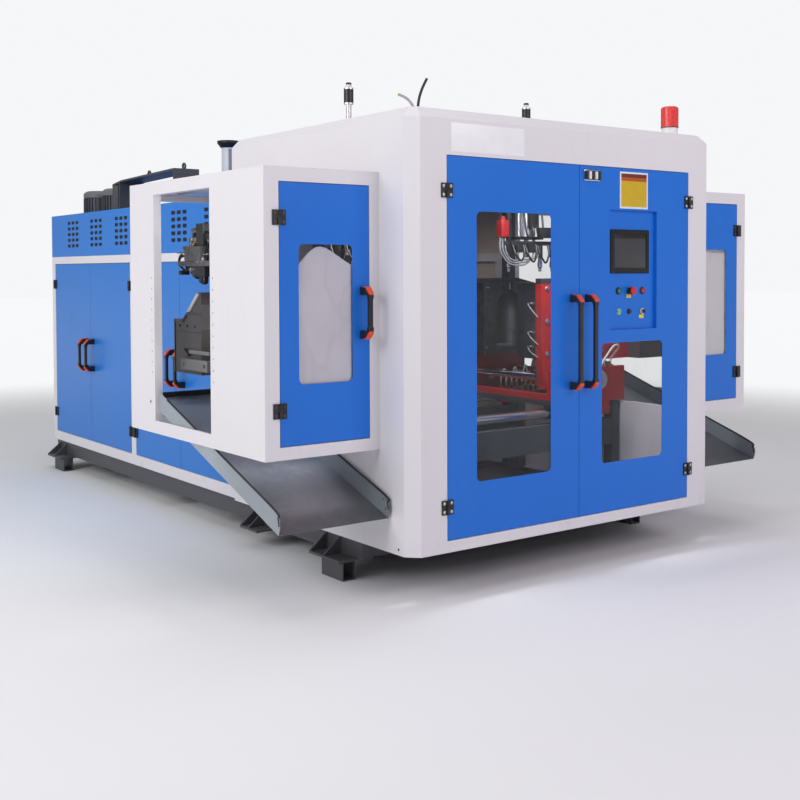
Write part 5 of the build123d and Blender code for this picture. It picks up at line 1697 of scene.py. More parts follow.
@dataclass(frozen=True)
class MaskingPapers:
    """White masking paper left behind the wing panes, its top edge curled away.

    Ripples are given by their height and their turns across and up the paper, in radians.
    """

    inner: float = 1.136
    width: float = 0.286
    low: float = 0.958
    sides_high: Pair = (1.455, 1.470)
    peak_high: float = 1.548
    peak_place: float = 0.40
    shoulders: Pair = (1.2, 1.3)
    right_sag: float = 0.006
    gap: float = 0.0107
    thickness: float = 0.0003
    curl_start: float = 0.82
    curl: float = 0.012
    curl_waves: float = 9.0
    ripples: Path = ((0.0006, 11.0, 5.0), (0.0005, 0.0, 23.0))
    columns: int = 28
    rows: int = 60
    bright: Colour = (0.90, 0.885, 0.90)

    def edge(self, side: Side, share: float) -> float:
        """Height of the paper's top edge.

        Args:
            side: the wing; the right wing's paper still reaches the top.
            share: share of the paper's width, from the left.

        Returns:
            The height.
        """
        if side is Side.RIGHT:
            return self.peak_high - self.right_sag * share**2
        before = share < self.peak_place
        foot = self.sides_high[0] if before else self.sides_high[1]
        power = self.shoulders[0] if before else self.shoulders[1]
        part = share / self.peak_place if before else (1 - share) / (1 - self.peak_place)
        return foot + (self.peak_high - foot) * math.sin(part * math.pi / 2) ** power

    def point(self, side: Side, share: float, part: float) -> Point:
        """One point of the paper.

        Args:
            side: the wing.
            share: share of the paper's width, from the left.
            part: share of its height.

        Returns:
            The point.
        """
        left = self.inner if side is Side.RIGHT else -self.inner - self.width
        lift = max(0.0, (part - self.curl_start) / (1 - self.curl_start))
        away = self.curl * lift**2 * (0.5 + 0.5 * math.cos(share * self.curl_waves))
        ripple = sum(rise * math.sin(share * wide + part * tall) for rise, wide, tall in self.ripples)
        height = self.low + (self.edge(side, share) - self.low) * part
        return (left + self.width * share, PLAN.wing_face + self.gap + away + ripple, height)

    def paper(self, side: Side) -> None:
        """Adds one sheet.

        Args:
            side: the wing.
        """
        mesh = bmesh.new()
        grid = [
            [mesh.verts.new(self.point(side, column / self.columns, row / self.rows))
             for column in range(self.columns + 1)]
            for row in range(self.rows + 1)
        ]
        for low, high in zip(grid, grid[1:]):
            for column in range(self.columns):
                mesh.faces.new((low[column], low[column + 1], high[column + 1], high[column]))
        data = bpy.data.meshes.new(f"masking_paper_{side.word}")
        mesh.to_mesh(data)
        mesh.free()
        skin = PaperSkin("masking_paper")
        if side is Side.RIGHT:
            skin = PaperSkin("masking_paper_bright", self.bright)
        data.materials.append(PAINT.get(skin))
        data.shade_smooth()
        sheet = add_object(data.name, data)
        thick = sheet.modifiers.new("thickness", "SOLIDIFY")
        thick.thickness = self.thickness
        thick.offset = 1.0
        strips = [self.edge(side, (column + 0.5) / self.columns) - self.low for column in range(self.columns)]
        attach(sheet, f"wing_door_{side.word}")

    def build(self) -> None:
        """Builds both papers."""
        for side in Side:
            self.paper(side)


@dataclass(frozen=True)
class WingDetails:
    """Rows of small holes on the jambs of the wing openings and cable holes in the sides, drawn as black
    rimmed discs whose black is painted shade.
    """

    hole_places: Pair = (0.690, 1.341)
    first: float = 1.414
    pitch: float = 0.0515
    count: int = 10
    sunk: float = 0.0002
    hole: Profile = ((0, 0.0035), (0.0005, 0.0035), (0.0005, 0.00245), (0.0002, 0.0021))
    wing_cable_place: Pair = (1.363, 0.805)
    wing_cable_hole: Profile = ((0, 0.007), (0.0006, 0.007), (0.0006, 0.005), (0.0002, 0.0045))
    side_cable_place: Pair = (0.094, 0.230)
    side_cable_hole: Profile = ((0, 0.006), (0.0006, 0.006), (0.0003, 0.004))

    def build(self) -> None:
        """Builds the hole rings."""
        # black discs stand in for the holes: their black is painted shade
        dots = Shape("jamb_holes", BLACK_PLASTIC)
        for side in Side:
            outer = side.value * (PLAN.wing_out - self.sunk)
            for place in self.hole_places:
                for step in range(self.count):
                    start = (outer, PLAN.back(place), self.first - step * self.pitch)
                    dots.turned(start, side.outward, self.hole, 14)
            place, height = self.wing_cable_place
            dots.turned((outer, PLAN.back(place), height), side.outward, self.wing_cable_hole, 16)
        place, height = self.side_cable_place
        dots.turned((-PLAN.half, PLAN.back(place), height), Side.LEFT.outward, self.side_cable_hole, 14)
        dots.build()


@dataclass(frozen=True)
class ChuteTrim:
    """Black rubber edge trim and a rear strip on the discharge chutes."""

    start: float = 0.150
    low: float = 0.360
    slope: float = 19.5
    length: float = 1.355
    outer_length: float = 1.150
    flange: float = 0.085
    corner: float = 0.060
    inner: float = 1.013
    outer: float = 1.5675
    trim_inset: float = 0.0015
    trim_radius: float = 0.0048
    strip_insets: Pair = (0.004, 0.050)
    strip_heights: Pair = (0.004, 0.030)
    strip_place: float = 0.010
    strip_thick: float = 0.008

    def point(self, across: float, along: float, above: float) -> Point:
        """Point on the chute from its lip.

        Args:
            across: X.
            along: distance up the slope.
            above: distance square to the trough.

        Returns:
            The point.
        """
        turn = math.radians(self.slope)
        return (
            across,
            PLAN.back(self.start) + along * math.cos(turn) - above * math.sin(turn),
            self.low + along * math.sin(turn) + above * math.cos(turn),
        )

    def edge(self, across: float, reach: float) -> list[Point]:
        """Points along a flange's upper edge, round its front corner.

        Args:
            across: X of the flange.
            reach: its length up the slope.

        Returns:
            The points.
        """
        return [self.point(across, along, above) for along, above in (
            (self.corner * 0.15, self.flange * 0.45), (self.corner * 0.45, self.flange - 0.020),
            (self.corner * 1.05, self.flange), (reach * 0.35, self.flange), (reach * 0.7, self.flange),
            (reach, self.flange),
        )]

    def build(self) -> None:
        """Builds the trim of both chutes."""
        up_slope = Vector(self.point(0, 1, 0)) - Vector(self.point(0, 0, 0))
        for side in Side:
            trim = Shape(f"chute_trim_{side.word}", RUBBER)
            inner = side.value * (self.inner + self.trim_inset)
            outer = side.value * (self.outer - self.trim_inset)
            trim.tube(self.edge(inner, self.length), self.trim_radius, rings=5)
            trim.tube(self.edge(outer, self.outer_length), self.trim_radius, rings=5)
            near = side.value * (self.inner + self.strip_insets[0])
            far = side.value * (self.outer - self.strip_insets[1])
            bottom, top = self.strip_heights
            corners = ((near, bottom), (far, bottom), (far, top), (near, top))
            rear = [self.point(across, self.length - self.strip_place, above) for across, above in corners]
            trim.prism(rear, tuple(up_slope.normalized() * self.strip_thick))
            trim.build()


@dataclass(frozen=True)
class BlowTops:
    """Collars on the roof round the blow rods, and the grey sight strip of the hopper."""

    collar: Profile = ((-0.002, 0.034), (0.004, 0.034), (0.005, 0.030), (0.005, 0.0155), (-0.002, 0.0155))
    hopper_radius: float = 0.049
    hopper_depth: float = 3.530
    strip_heights: Pair = (1.90, 2.33)
    strip_turn: float = 257.0
    strip_half_width: float = 0.011
    strip_sunk: float = 0.0015
    strip_thick: float = 0.0035

    def build(self) -> None:
        """Builds the collars and the strip."""
        collars = Shape("roof_collars", ALUMINIUM)
        for side in Side:
            collars.turned((side.value * PLAN.station_x, PLAN.station_y, PLAN.roof), UP, self.collar, 32)
        collars.build()
        turn = math.radians(self.strip_turn)
        way = Vector((math.cos(turn), math.sin(turn), 0))
        across = Vector((-way.y, way.x, 0)) * self.strip_half_width
        middle = Vector((0, PLAN.back(self.hopper_depth), 0)) + way * (self.hopper_radius - self.strip_sunk)
        low, high = (Vector((0, 0, height)) for height in self.strip_heights)
        near, far = middle - across, middle + across
        corners = (near + low, far + low, far + high, near + high)
        strip = Shape("hopper_strip", Moulded("strip_grey", (0.20, 0.20, 0.215), 0.3))
        strip.prism([tuple(corner) for corner in corners], tuple(way * self.strip_thick)).build()


@dataclass(frozen=True)
class RearRoof:
    """Cooling fins, fan cowls and terminal boxes of the motors on the rear roof.

    Each motor is given by its distance behind the front face, its radius and the height of its top.
    """

    across: float = -0.647
    motors: Path = ((4.355, 0.110, 2.044), (4.020, 0.100, 2.044))
    fins: int = 28
    fin_reach: Pair = (-0.001, 0.010)
    fin_half_thick: float = 0.0016
    fin_taper: float = 0.6
    fin_ends: Pair = (0.016, -0.050)
    cowl_drop: float = 0.046
    box_x: Pair = (-0.004, 0.058)
    box_half_width: float = 0.045
    box_z: Pair = (1.905, 1.985)

    def fin(self, shape: Shape, middle: Vector, radius: float, top: float, turn: float) -> None:
        """Adds one upright fin.

        Args:
            shape: the piece.
            middle: the motor's axis.
            radius: the motor's radius.
            top: height of the motor's top.
            turn: the fin's direction in radians.
        """
        way = Vector((math.cos(turn), math.sin(turn), 0))
        side = Vector((-way.y, way.x, 0)) * self.fin_half_thick
        inner = middle + way * (radius + self.fin_reach[0]) + side
        outer = middle + way * (radius + self.fin_reach[1]) + side * self.fin_taper
        low = Vector((0, 0, PLAN.cabinet_top + self.fin_ends[0]))
        high = Vector((0, 0, top + self.fin_ends[1]))
        corners = (inner + low, outer + low, outer + high, inner + high)
        shape.prism([tuple(corner) for corner in corners], tuple(-side * (1 + self.fin_taper)))

    def cowl(self, radius: float) -> Profile:
        """Profile of a fan cowl with a ring and a hub in its top.

        Args:
            radius: the motor's radius.

        Returns:
            The profile.
        """
        return (
            (0, radius + 0.001), (0, radius + 0.009), (0.030, radius + 0.009), (0.044, radius - 0.004),
            (0.050, radius - 0.020), (0.050, radius * 0.72), (0.047, radius * 0.70), (0.047, radius * 0.5),
            (0.050, radius * 0.48), (0.050, radius * 0.2),
        )

    def build(self) -> None:
        """Builds the motors' dressing."""
        fins = Shape("motor_fins", DARK_CASTING)
        cowls = Shape("motor_cowls", Casting("cowl_grey", (0.16, 0.16, 0.17)))
        for place, radius, top in self.motors:
            middle = Vector((self.across, PLAN.back(place), 0))
            for step in range(self.fins):
                self.fin(fins, middle, radius, top, 2 * math.pi * step / self.fins)
            cowls.turned((middle.x, middle.y, top - self.cowl_drop), UP, self.cowl(radius), 40)
            edge = self.across + radius
            fins.block((edge + self.box_x[0], edge + self.box_x[1]), around(middle.y, self.box_half_width),
                       self.box_z, 0.004)
        fins.build()
        cowls.build()


@dataclass(frozen=True)
class VentMesh:
    """Near-black sheet behind the vent slots of the left cabinets: painted shade of the cabinets' inside."""

    start: float = 1.750
    end: float = 4.440
    heights: Pair = (1.600, 1.828)
    behind: float = 0.0035
    thick: float = 0.0012

    def build(self) -> None:
        """Builds the sheet of painted shade."""
        inside = -PLAN.cabinet_side + self.behind
        # the near-black sheet stands for the shade behind the slots: painted shade
        sheet = Shape("vent_mesh", Moulded("vent_mesh_black", (0.006, 0.006, 0.007), 0.8, 0.0003))
        across = (inside, inside + self.thick)
        sheet.block(across, (PLAN.back(self.start), PLAN.back(self.end)), self.heights, 0.0003).build()


@dataclass(frozen=True)
class DeflashDress:
    """Valves, couplings, elbows and air lines crowded on the deflash heads that show in the wing openings.

    Places are given by their distance behind the front face and their height. Air lines are given by
    their number, the first one's route and how the route grows with each next one.
    """

    plate_top: float = 1.496
    face: float = 1.410
    valve_rows: tuple[tuple[float, float, float, int], ...] = (
        (1.398, 0.985, 0.034, 5), (1.300, 0.990, 0.052, 4),
    )
    valve_base: Point = (0.015, 0.012, 0.060)
    valve_coil: Point = (0.011, 0.010, 0.092)
    valve_nut: Profile = ((0, 0.007), (0.014, 0.007), (0.018, 0.004))
    valve_port: Profile = ((0, 0.0075), (0.006, 0.0075), (0.006, 0.006), (0.016, 0.006), (0.018, 0.0048))
    housings_x: Pair = (1.384, 1.428)
    housings: tuple[tuple[float, float, float, float], ...] = (
        (1.090, 1.165, 1.566, 1.676), (1.078, 1.212, 1.418, 1.470), (1.325, 1.362, 1.428, 1.450),
    )
    couplings: tuple[tuple[float, float, int, float, float], ...] = (
        (1.165, 1.600, 1, 0.075, 0.014), (1.225, 1.560, 1, 0.108, 0.012), (1.170, 1.498, -1, 0.092, 0.021),
        (1.180, 1.455, 1, 0.080, 0.013), (1.165, 1.640, 1, 0.040, 0.009),
    )
    coupling_steps: Profile = (
        (0, 0.8), (0.10, 1), (0.38, 1), (0.42, 0.72), (0.60, 0.72), (0.64, 0.92), (0.84, 0.92), (0.88, 0.5),
        (1, 0.5),
    )
    brass_places: Profile = ((1.250, 1.545), (1.272, 1.548), (1.188, 1.575))
    brass_nut: Profile = ((0, 0.010), (0.010, 0.010), (0.010, 0.007), (0.020, 0.007), (0.022, 0.005))
    drops: tuple[tuple[float, float, float, float], ...] = (
        (1.311, 1.512, 0.066, 0.012), (1.245, 1.530, 0.098, 0.014), (1.283, 1.500, 0.050, 0.010),
    )
    drop_steps: Profile = (
        (0, 0.7), (0.2, 1), (0.45, 1), (0.5, 0.65), (0.8, 0.65), (0.82, 0.9), (1, 0.9),
    )
    rod: Profile = ((0, 0.0042), (0.120, 0.0042), (0.132, 0.0030))
    knobs: Path = ((1.116, 1.404, 0.023), (1.175, 1.420, 0.013))
    union: tuple[Pair, ...] = ((1.388, 1.420), (1.196, 1.236), (1.630, 1.656))
    union_stem: tuple[Pair, ...] = ((1.392, 1.416), (1.205, 1.227), (1.566, 1.630))
    plate_bolts: Profile = ((1.366, 0.984), (1.146, 1.324))
    line_radius: float = 0.0036
    air_lines: tuple[tuple[int, Path, Path], ...] = (
        (5, (
            (0, 0.990, 1.592), (0.010, 1.010, 1.618), (-0.030, 1.150, 1.640), (-0.080, 1.205, 1.585),
            (-0.110, 1.215, 1.500),
        ), (
            (0, 0.034, 0), (0, 0.034, 0.004), (0, 0.008, 0.006), (0, 0, 0), (-0.02, 0, 0),
        )),
        (3, (
            (0.004, 1.330, 1.452), (0.012, 1.362, 1.478), (0.010, 1.350, 1.512), (0.004, 1.315, 1.520),
        ), (
            (0, -0.004, 0), (0, 0.004, 0.006), (0, 0, 0.008), (0, 0, 0),
        )),
    )

    def at(self, side: Side, out: float, distance: float, height: float) -> Point:
        """Point beside the head, from its distances outward from the fittings' plane and behind the front."""
        return (side.value * (self.face + out), PLAN.back(distance), height)

    @staticmethod
    def scaled(steps: Iterable[Pair], length: float, radius: float) -> list[Pair]:
        """Profile of a stepped part from pairs of shares of its length and greatest radius."""
        return [(length * along, radius * wide) for along, wide in steps]

    def valves(self, side: Side, dark: Shape, steel: Shape) -> None:
        """Adds the rows of solenoid valves on the head's plate.

        Args:
            side: the wing.
            dark: the black piece.
            steel: the metal piece.
        """
        low = self.plate_top
        for across, first, pitch, count in self.valve_rows:
            for step in range(count):
                x, y = side.value * across, PLAN.back(first + pitch * step)
                half_x, half_y, middle = self.valve_base
                dark.block(around(x, half_x), around(y, half_y), (low, low + middle), 0.002)
                half_x, half_y, top = self.valve_coil
                dark.block(around(x, half_x), around(y, half_y), (low + middle, low + top), 0.003)
                steel.turned((x, y, low + top), UP, self.valve_nut, 14)
                steel.turned((x + side.value * 0.014, y, low + 0.030), side.outward, self.valve_port, 12)

    def crowd(self, side: Side, dark: Shape, steel: Shape, brass: Shape) -> None:
        """Adds the couplings and elbows that crowd the outer face.

        Args:
            side: the wing.
            dark: the black piece.
            steel: the metal piece.
            brass: the brass piece.
        """
        for low, high, bottom, top in self.housings:
            dark.block(side.span(*self.housings_x), (PLAN.back(low), PLAN.back(high)), (bottom, top), 0.003)
        for shape, (x, (near, far), z), bevel in ((steel, self.union, 0.003), (dark, self.union_stem, 0.002)):
            shape.block(side.span(*x), (PLAN.back(near), PLAN.back(far)), z, bevel)
        for distance, height, way, length, radius in self.couplings:
            profile = self.scaled(self.coupling_steps, length, radius)
            steel.turned(self.at(side, 0.006, distance, height), (0, way, 0), profile, 14)
        for distance, height in self.brass_places:
            brass.turned(self.at(side, 0.004, distance, height), side.outward, self.brass_nut, 6)
        for distance, height, drop, radius in self.drops:
            profile = self.scaled(self.drop_steps, drop, radius)
            dark.turned(self.at(side, -0.004, distance, height), DOWN, profile, 14)
        steel.turned(self.at(side, 0.0, 1.280, 1.538), Way.REAR.outward, self.rod, 10)
        for distance, height, radius in self.knobs:
            profile = ((0, radius), (0.020, radius), (0.026, radius * 0.7), (0.032, radius * 0.7))
            dark.turned(self.at(side, -0.012, distance, height), side.outward, profile, 18)

    def hoses(self, side: Side, lines: Shape) -> None:
        """Adds short air lines looped over the head.

        Args:
            side: the wing.
            lines: the hose piece.
        """
        for count, route, growth in self.air_lines:
            for step in range(count):
                lines.tube([self.at(side, *place) for place in grown(route, growth, step)], self.line_radius)

    def build(self) -> None:
        """Builds the dressing of both heads."""
        for side in Side:
            body = f"deflash_head_{side.word}"
            dark = Shape(f"deflash_valves_{side.word}", BLACK_PLASTIC, body)
            steel = Shape(f"deflash_couplings_{side.word}", DULL_STEEL, body)
            brass = Shape(f"deflash_brass_{side.word}", BRASS, body)
            lines = Shape(f"deflash_lines_{side.word}", HOSE_BLACK, body)
            self.valves(side, dark, steel)
            self.crowd(side, dark, steel, brass)
            self.hoses(side, lines)
            for across, distance in self.plate_bolts:
                steel.hexagon((side.value * across, PLAN.back(distance), self.plate_top), UP, 0.009, 0.007)
            for shape in (dark, steel, brass, lines):
                shape.build()


@dataclass(frozen=True)
class NestDress:
    """Bright edge plates, guide bars, seams and bolts on the take-out nests at the outer ends of the platens.

    Plates are given as pairs of distance from the parting face and height.
    """

    outer: float = 1.3972
    edge_plate: Profile = ((0.038, 1.337), (0.150, 1.2450), (0.118, 1.2450), (0.012, 1.334))
    edge_thick: float = 0.006
    seams: tuple[tuple[float, Profile], ...] = (
        (0.004, (
            (0.300, 1.205), (0.204, 1.205), (0.170, 1.229), (0.162, 1.2180), (0.200, 1.1920), (0.300, 1.1920),
        )),
        (0.003, ((0.0, 1.2370), (0.163, 1.2370), (0.163, 1.2335), (0.0, 1.2335))),
        (0.002, ((0.0, 1.1450), (0.300, 1.1450), (0.300, 1.1420), (0.0, 1.1420))),
        (0.003, ((0.292, 0.935), (0.300, 0.935), (0.300, 1.205), (0.292, 1.205))),
    )
    bolts: Point = (0.070, 0.155, 0.240)
    bolt_height: float = 1.172
    bars: tuple[tuple[float, Pair, Pair], ...] = (
        (1.424, (-0.112, 0.180), (0.957, 1.012)), (1.412, (-0.112, 0.112), (1.038, 1.056)),
    )
    bar_face: float = 1.4235
    bar_dots: tuple[tuple[float, int, Profile], ...] = (
        (-0.082, 18, ((0, 0.010), (0.0012, 0.010), (0.0012, 0.006))),
        (0.140, 14, ((0, 0.006), (0.0012, 0.006), (0.0012, 0.003))),
    )
    bar_height: float = 0.986
    link: Profile = ((0.118, 1.030), (0.168, 1.060), (0.168, 1.048), (0.134, 1.022))
    link_thick: float = 0.012

    def plate(self, shape: Shape, side: Side, way: Way, corners: Iterable[Pair], thick: float) -> None:
        """Adds a plate on a nest's outer face.

        Args:
            shape: the piece.
            side: the wing.
            way: the nest's half.
            corners: pairs of distance from the parting face and Z.
            thick: its thickness.
        """
        start = side.value * self.outer
        outline = [(start, self.parting(way) + way.value * distance, height) for distance, height in corners]
        shape.prism(outline, (side.value * thick, 0, 0))

    @staticmethod
    def parting(way: Way) -> float:
        """Y of a nest's parting face with the moulds open."""
        return PLAN.station_y + way.value * PLAN.mould_opening

    def nest(self, side: Side, way: Way) -> None:
        """Builds the dressing of one nest.

        Args:
            side: the wing.
            way: the nest's half.
        """
        body = f"clamp_{way.word}_{side.word}"
        pale_finish = Casting("edge_plate_pale", (0.62, 0.61, 0.60), metallic=0.2, roughness=0.4)
        pale = Shape(f"nest_edges_{way.word}_{side.word}", pale_finish, body)
        dark = Shape(f"nest_seams_{way.word}_{side.word}", DARK_STEEL, body)
        self.plate(pale, side, way, self.edge_plate, self.edge_thick)
        for thick, corners in self.seams:
            self.plate(dark, side, way, corners, thick)
        for distance in self.bolts:
            place = self.parting(way) + way.value * distance
            dark.bolt((side.value * self.outer, place, self.bolt_height), side.outward, 0.006, 0.005)
        if way is Way.REAR:
            self.guides(side, dark, body)
        pale.build()
        dark.build()

    def guides(self, side: Side, dark: Shape, body: str) -> None:
        """Adds the two guide bars that reach past the rear nest's parting face, outside the front nest.

        Args:
            side: the wing.
            dark: the dark piece.
            body: the body of the rear nest.
        """
        guide_grey = Casting("guide_bar_grey", (0.24, 0.24, 0.235), metallic=0.4)
        bright = Shape(f"nest_plates_rear_{side.word}", guide_grey, body)
        face = self.parting(Way.REAR)
        for outer, (near, far), heights in self.bars:
            bright.block(side.span(self.outer, outer), (face + near, face + far), heights, 0.003)
        for distance, sides, profile in self.bar_dots:
            start = (side.value * self.bar_face, face + distance, self.bar_height)
            dark.turned(start, side.outward, profile, sides)
        self.plate(dark, side, Way.REAR, self.link, self.link_thick)
        bright.build()

    def build(self) -> None:
        """Builds the dressing of the four nests."""
        for side in Side:
            for way in Way:
                self.nest(side, way)


@dataclass(frozen=True)
class MouldDress:
    """Back plates' bolts, locating rings, water fittings and water lines of the moulds and platens."""

    platen_back: float = 0.3532
    bolt_columns: tuple[float, ...] = (-0.170, -0.085, 0.085, 0.170)
    bolt_rows: Point = (0.985, 1.165, 1.345)
    ring: Profile = ((0, 0.022), (0.006, 0.022), (0.007, 0.018))
    ring_height: float = 1.080
    mould_half_width: float = 0.200
    water_place: float = 0.254
    water_heights: Point = (1.020, 1.100, 1.260)

    def half(self, side: Side, way: Way) -> None:
        """Builds the dressing of one mould half.

        Args:
            side: the station's side.
            way: the mould's half.
        """
        body = f"clamp_{way.word}_{side.word}"
        middle = side.value * PLAN.station_x
        back = PLAN.station_y + way.value * self.platen_back
        bolts = Shape(f"platen_bolts_{way.word}_{side.word}", ZINC, body)
        for across in self.bolt_columns:
            for height in self.bolt_rows:
                bolts.hexagon((middle + across, back, height), way.outward, 0.011, 0.010)
        bolts.turned((middle, back, self.ring_height), way.outward, self.ring)
        bolts.build()
        water = Shape(f"water_fittings_{way.word}_{side.word}", DULL_STEEL, body)
        lines = Shape(f"water_lines_{way.word}_{side.word}", HOSE_GREY, body)
        edge = side.value * (PLAN.station_x - self.mould_half_width)
        place = PLAN.station_y + way.value * self.water_place
        mirror = (-side.value, way.value, 1)
        for step, height in enumerate(self.water_heights):
            end = (edge, place, height)
            water.fitting(end, (-side.value, 0, 0), (0.009, 0.0065, 0.008), (0.008, 0.014, 0.022))
            run = moved(end, ((0.018, 0, 0), (0.030, 0.010, -0.004), (0.030, 0.035, -0.030)), mirror)
            run += moved((edge, back, height), ((0.018, -0.022, -0.055 - 0.01 * step),), mirror)
            lines.tube(run, 0.0042, sides=10)
        water.build()
        lines.build()

    def build(self) -> None:
        """Builds the dressing of the four mould halves."""
        for side in Side:
            for way in Way:
                self.half(side, way)


@dataclass(frozen=True)
class CarriageDress:
    """End caps, flow controls, hydraulic lines and the water manifold of the carriages.

    Hose routes are steps from the point where the hose starts, away from the station's middle. A growth
    is what is added to a route's points for each next hose.
    """

    cylinder_start: float = 0.434
    cylinder_height: float = 0.850
    inner_cap: Profile = ((0, 0.043), (0, 0.052), (0.018, 0.052), (0.018, 0.043))
    outer_cap_place: float = 0.138
    outer_cap: Profile = (
        (0, 0.043), (0, 0.050), (0.024, 0.050), (0.026, 0.046), (0.026, 0.012), (0.030, 0.010),
    )
    rod_circle: float = 0.047
    rod: Profile = ((0, 0.004), (0.120, 0.004))
    port_places: Pair = (0.030, 0.140)
    port_height: float = 0.892
    port_radii: Point = (0.012, 0.009, 0.012)
    port_ends: Point = (0.012, 0.026, 0.036)
    port_line: Path = (
        (0, 0, 0.922), (0, 0, 0.945), (-0.030, -0.012, 0.962), (-0.100, -0.020, 0.940),
    )
    port_line_end: Point = (-0.150, -0.012, 0.905)
    port_line_radius: float = 0.0075
    control: Profile = ((0, 0.013), (0.014, 0.013), (0.014, 0.010), (0.030, 0.010), (0.034, 0.006))
    control_first: float = -0.190
    control_pitch: float = 0.045
    air_loop: Path = (
        (0, 0.030, 0), (0.004, 0.060, -0.006), (0.020, 0.066, -0.035), (0.036, 0.030, -0.048),
        (0.040, 0.002, -0.048),
    )
    manifold_x: Pair = (-0.159, 0.299)
    manifold_y: float = 0.105
    manifold_half: float = 0.022
    manifold_z: Pair = (0.724, 0.758)
    outlets: int = 6
    outlet_first: float = -0.105
    outlet_pitch: float = 0.042
    outlet_height: float = 0.757
    outlet_radii: Point = (0.010, 0.0075, 0.009)
    outlet_ends: Point = (0.010, 0.020, 0.030)
    hoop_height: float = 0.784
    hoop: Path = (
        (0, 0, 0), (0.002, -0.004, 0.046), (0.021, -0.010, 0.082), (0.040, -0.004, 0.046), (0.042, 0, 0),
    )
    hoop_growth: Path = ((0, 0, 0), (0, 0, 0), (0, 0, 0.008), (0, 0, 0), (0, 0, 0))
    loop: Path = ((0.030, 0, 0.880), (0.046, 0, 0.935), (0.085, -0.010, 0.990), (0.150, 0.030, 0.985))
    loop_growth: Path = ((0, 0, 0), (0, 0, 0), (0.02, 0, 0.018), (0.03, 0, 0.016))
    loop_start: Pair = (-0.470, -0.045)
    loop_end: Pair = (0.150, 0.055)
    loop_end_place: Pair = (-0.414, 0.918)
    loop_tail: Path = ((0.004, -0.012, 0.032), (0, 0, 0))
    loop_radius: float = 0.0062
    elbow_height: float = 0.899
    elbow_radii: Point = (0.012, 0.009, 0.0105)
    elbow_ends: Point = (0.010, 0.020, 0.028)

    def cylinder(self, middle: float, way: Way, caps: Shape) -> None:
        """Adds a clamp cylinder's caps and tie rods.

        Args:
            middle: X of the station.
            way: the cylinder's end of the carriage.
            caps: the metal piece.
        """
        axis = (middle, PLAN.station_y, self.cylinder_height)
        mirror = (1, way.value, 1)
        near, far = moved(
            axis, ((0, self.cylinder_start, 0), (0, self.cylinder_start + self.outer_cap_place, 0)), mirror
        )
        caps.turned(near, way.outward, self.inner_cap, 32)
        caps.turned(far, way.outward, self.outer_cap, 32)
        behind = self.cylinder_start + self.inner_cap[-1][0]
        for corner in range(4):
            turn = math.pi / 4 + corner * math.pi / 2
            across, rise = self.rod_circle * math.cos(turn), self.rod_circle * math.sin(turn)
            start, = moved(axis, ((across, behind, rise),), mirror)
            caps.turned(start, way.outward, self.rod, 8)

    def ports(self, middle: float, way: Way, fittings: Shape, lines: Shape) -> None:
        """Adds a clamp cylinder's two ports and their hydraulic lines.

        Args:
            middle: X of the station.
            way: the cylinder's end of the carriage.
            fittings: the brass piece.
            lines: the black hoses.
        """
        mirror = (1, way.value, 1)
        start = PLAN.station_y + way.value * self.cylinder_start
        for place in self.port_places:
            y = start + way.value * place
            fittings.fitting((middle, y, self.port_height), UP, self.port_radii, self.port_ends)
            run = moved((middle, y, 0.0), self.port_line, mirror)
            run += moved((middle, start, 0.0), (self.port_line_end,), mirror)
            lines.tube(run, self.port_line_radius, sides=10, rings=7)

    def controls(self, middle: float, way: Way, fittings: Shape, pale: Shape) -> None:
        """Adds the flow controls on an end plate and their air lines.

        Args:
            middle: X of the station.
            way: the end of the carriage.
            fittings: the brass piece.
            pale: the pale hoses.
        """
        y = PLAN.station_y + way.value * (self.cylinder_start + 0.001)
        for step in range(4):
            place = (middle + self.control_first + step * self.control_pitch, y, 0.770)
            fittings.turned(place, way.outward, self.control, 12)
            pale.tube(moved(place, self.air_loop, (1, way.value, 1)), 0.0045)

    def manifold(self, side: Side, fittings: Shape, pale: Shape) -> None:
        """Adds the water manifold across the carriage's rails, under the moulds.

        Args:
            side: the station's side.
            fittings: the brass piece.
            pale: the pale hoses.
        """
        middle = side.value * PLAN.station_x
        bar = Shape(f"water_manifold_{side.word}", ALUMINIUM, f"carriage_{side.word}")
        across = side.span(PLAN.station_x + self.manifold_x[0], PLAN.station_x + self.manifold_x[1])
        for place in PLAN.station(self.manifold_y):
            bar.block(across, around(place, self.manifold_half), self.manifold_z, 0.003)
            for step in range(self.outlets):
                x = middle + self.outlet_first + step * self.outlet_pitch
                fittings.fitting((x, place, self.outlet_height), UP, self.outlet_radii, self.outlet_ends)
            for step in range(self.outlets // 2):
                x = middle + self.outlet_first + 2 * step * self.outlet_pitch
                hoop = grown(self.hoop, self.hoop_growth, step)
                pale.tube(moved((x, place, self.hoop_height), hoop), 0.0048)
        bar.build()

    def loops(self, side: Side, fittings: Shape, lines: Shape, pale: Shape) -> None:
        """Adds hose loops from the front clamp cylinder to the top of its end plate.

        Args:
            side: the station's side.
            fittings: the brass piece.
            lines: the black hoses.
            pale: the pale hoses.
        """
        middle = side.value * PLAN.station_x
        mirror = (side.value, 1, 1)
        behind, height = self.loop_end_place
        for step, target in enumerate((pale, lines, pale)):
            start = (middle, PLAN.station_y + self.loop_start[0] + self.loop_start[1] * step, 0.0)
            across = side.value * (self.loop_end[0] + self.loop_end[1] * step)
            end = (middle + across, PLAN.station_y + behind, height)
            run = moved(start, grown(self.loop, self.loop_growth, step), mirror)
            run += moved(end, self.loop_tail, mirror)
            target.tube(run, self.loop_radius, sides=10, rings=7)
            fittings.fitting((*end[:2], self.elbow_height), UP, self.elbow_radii, self.elbow_ends)

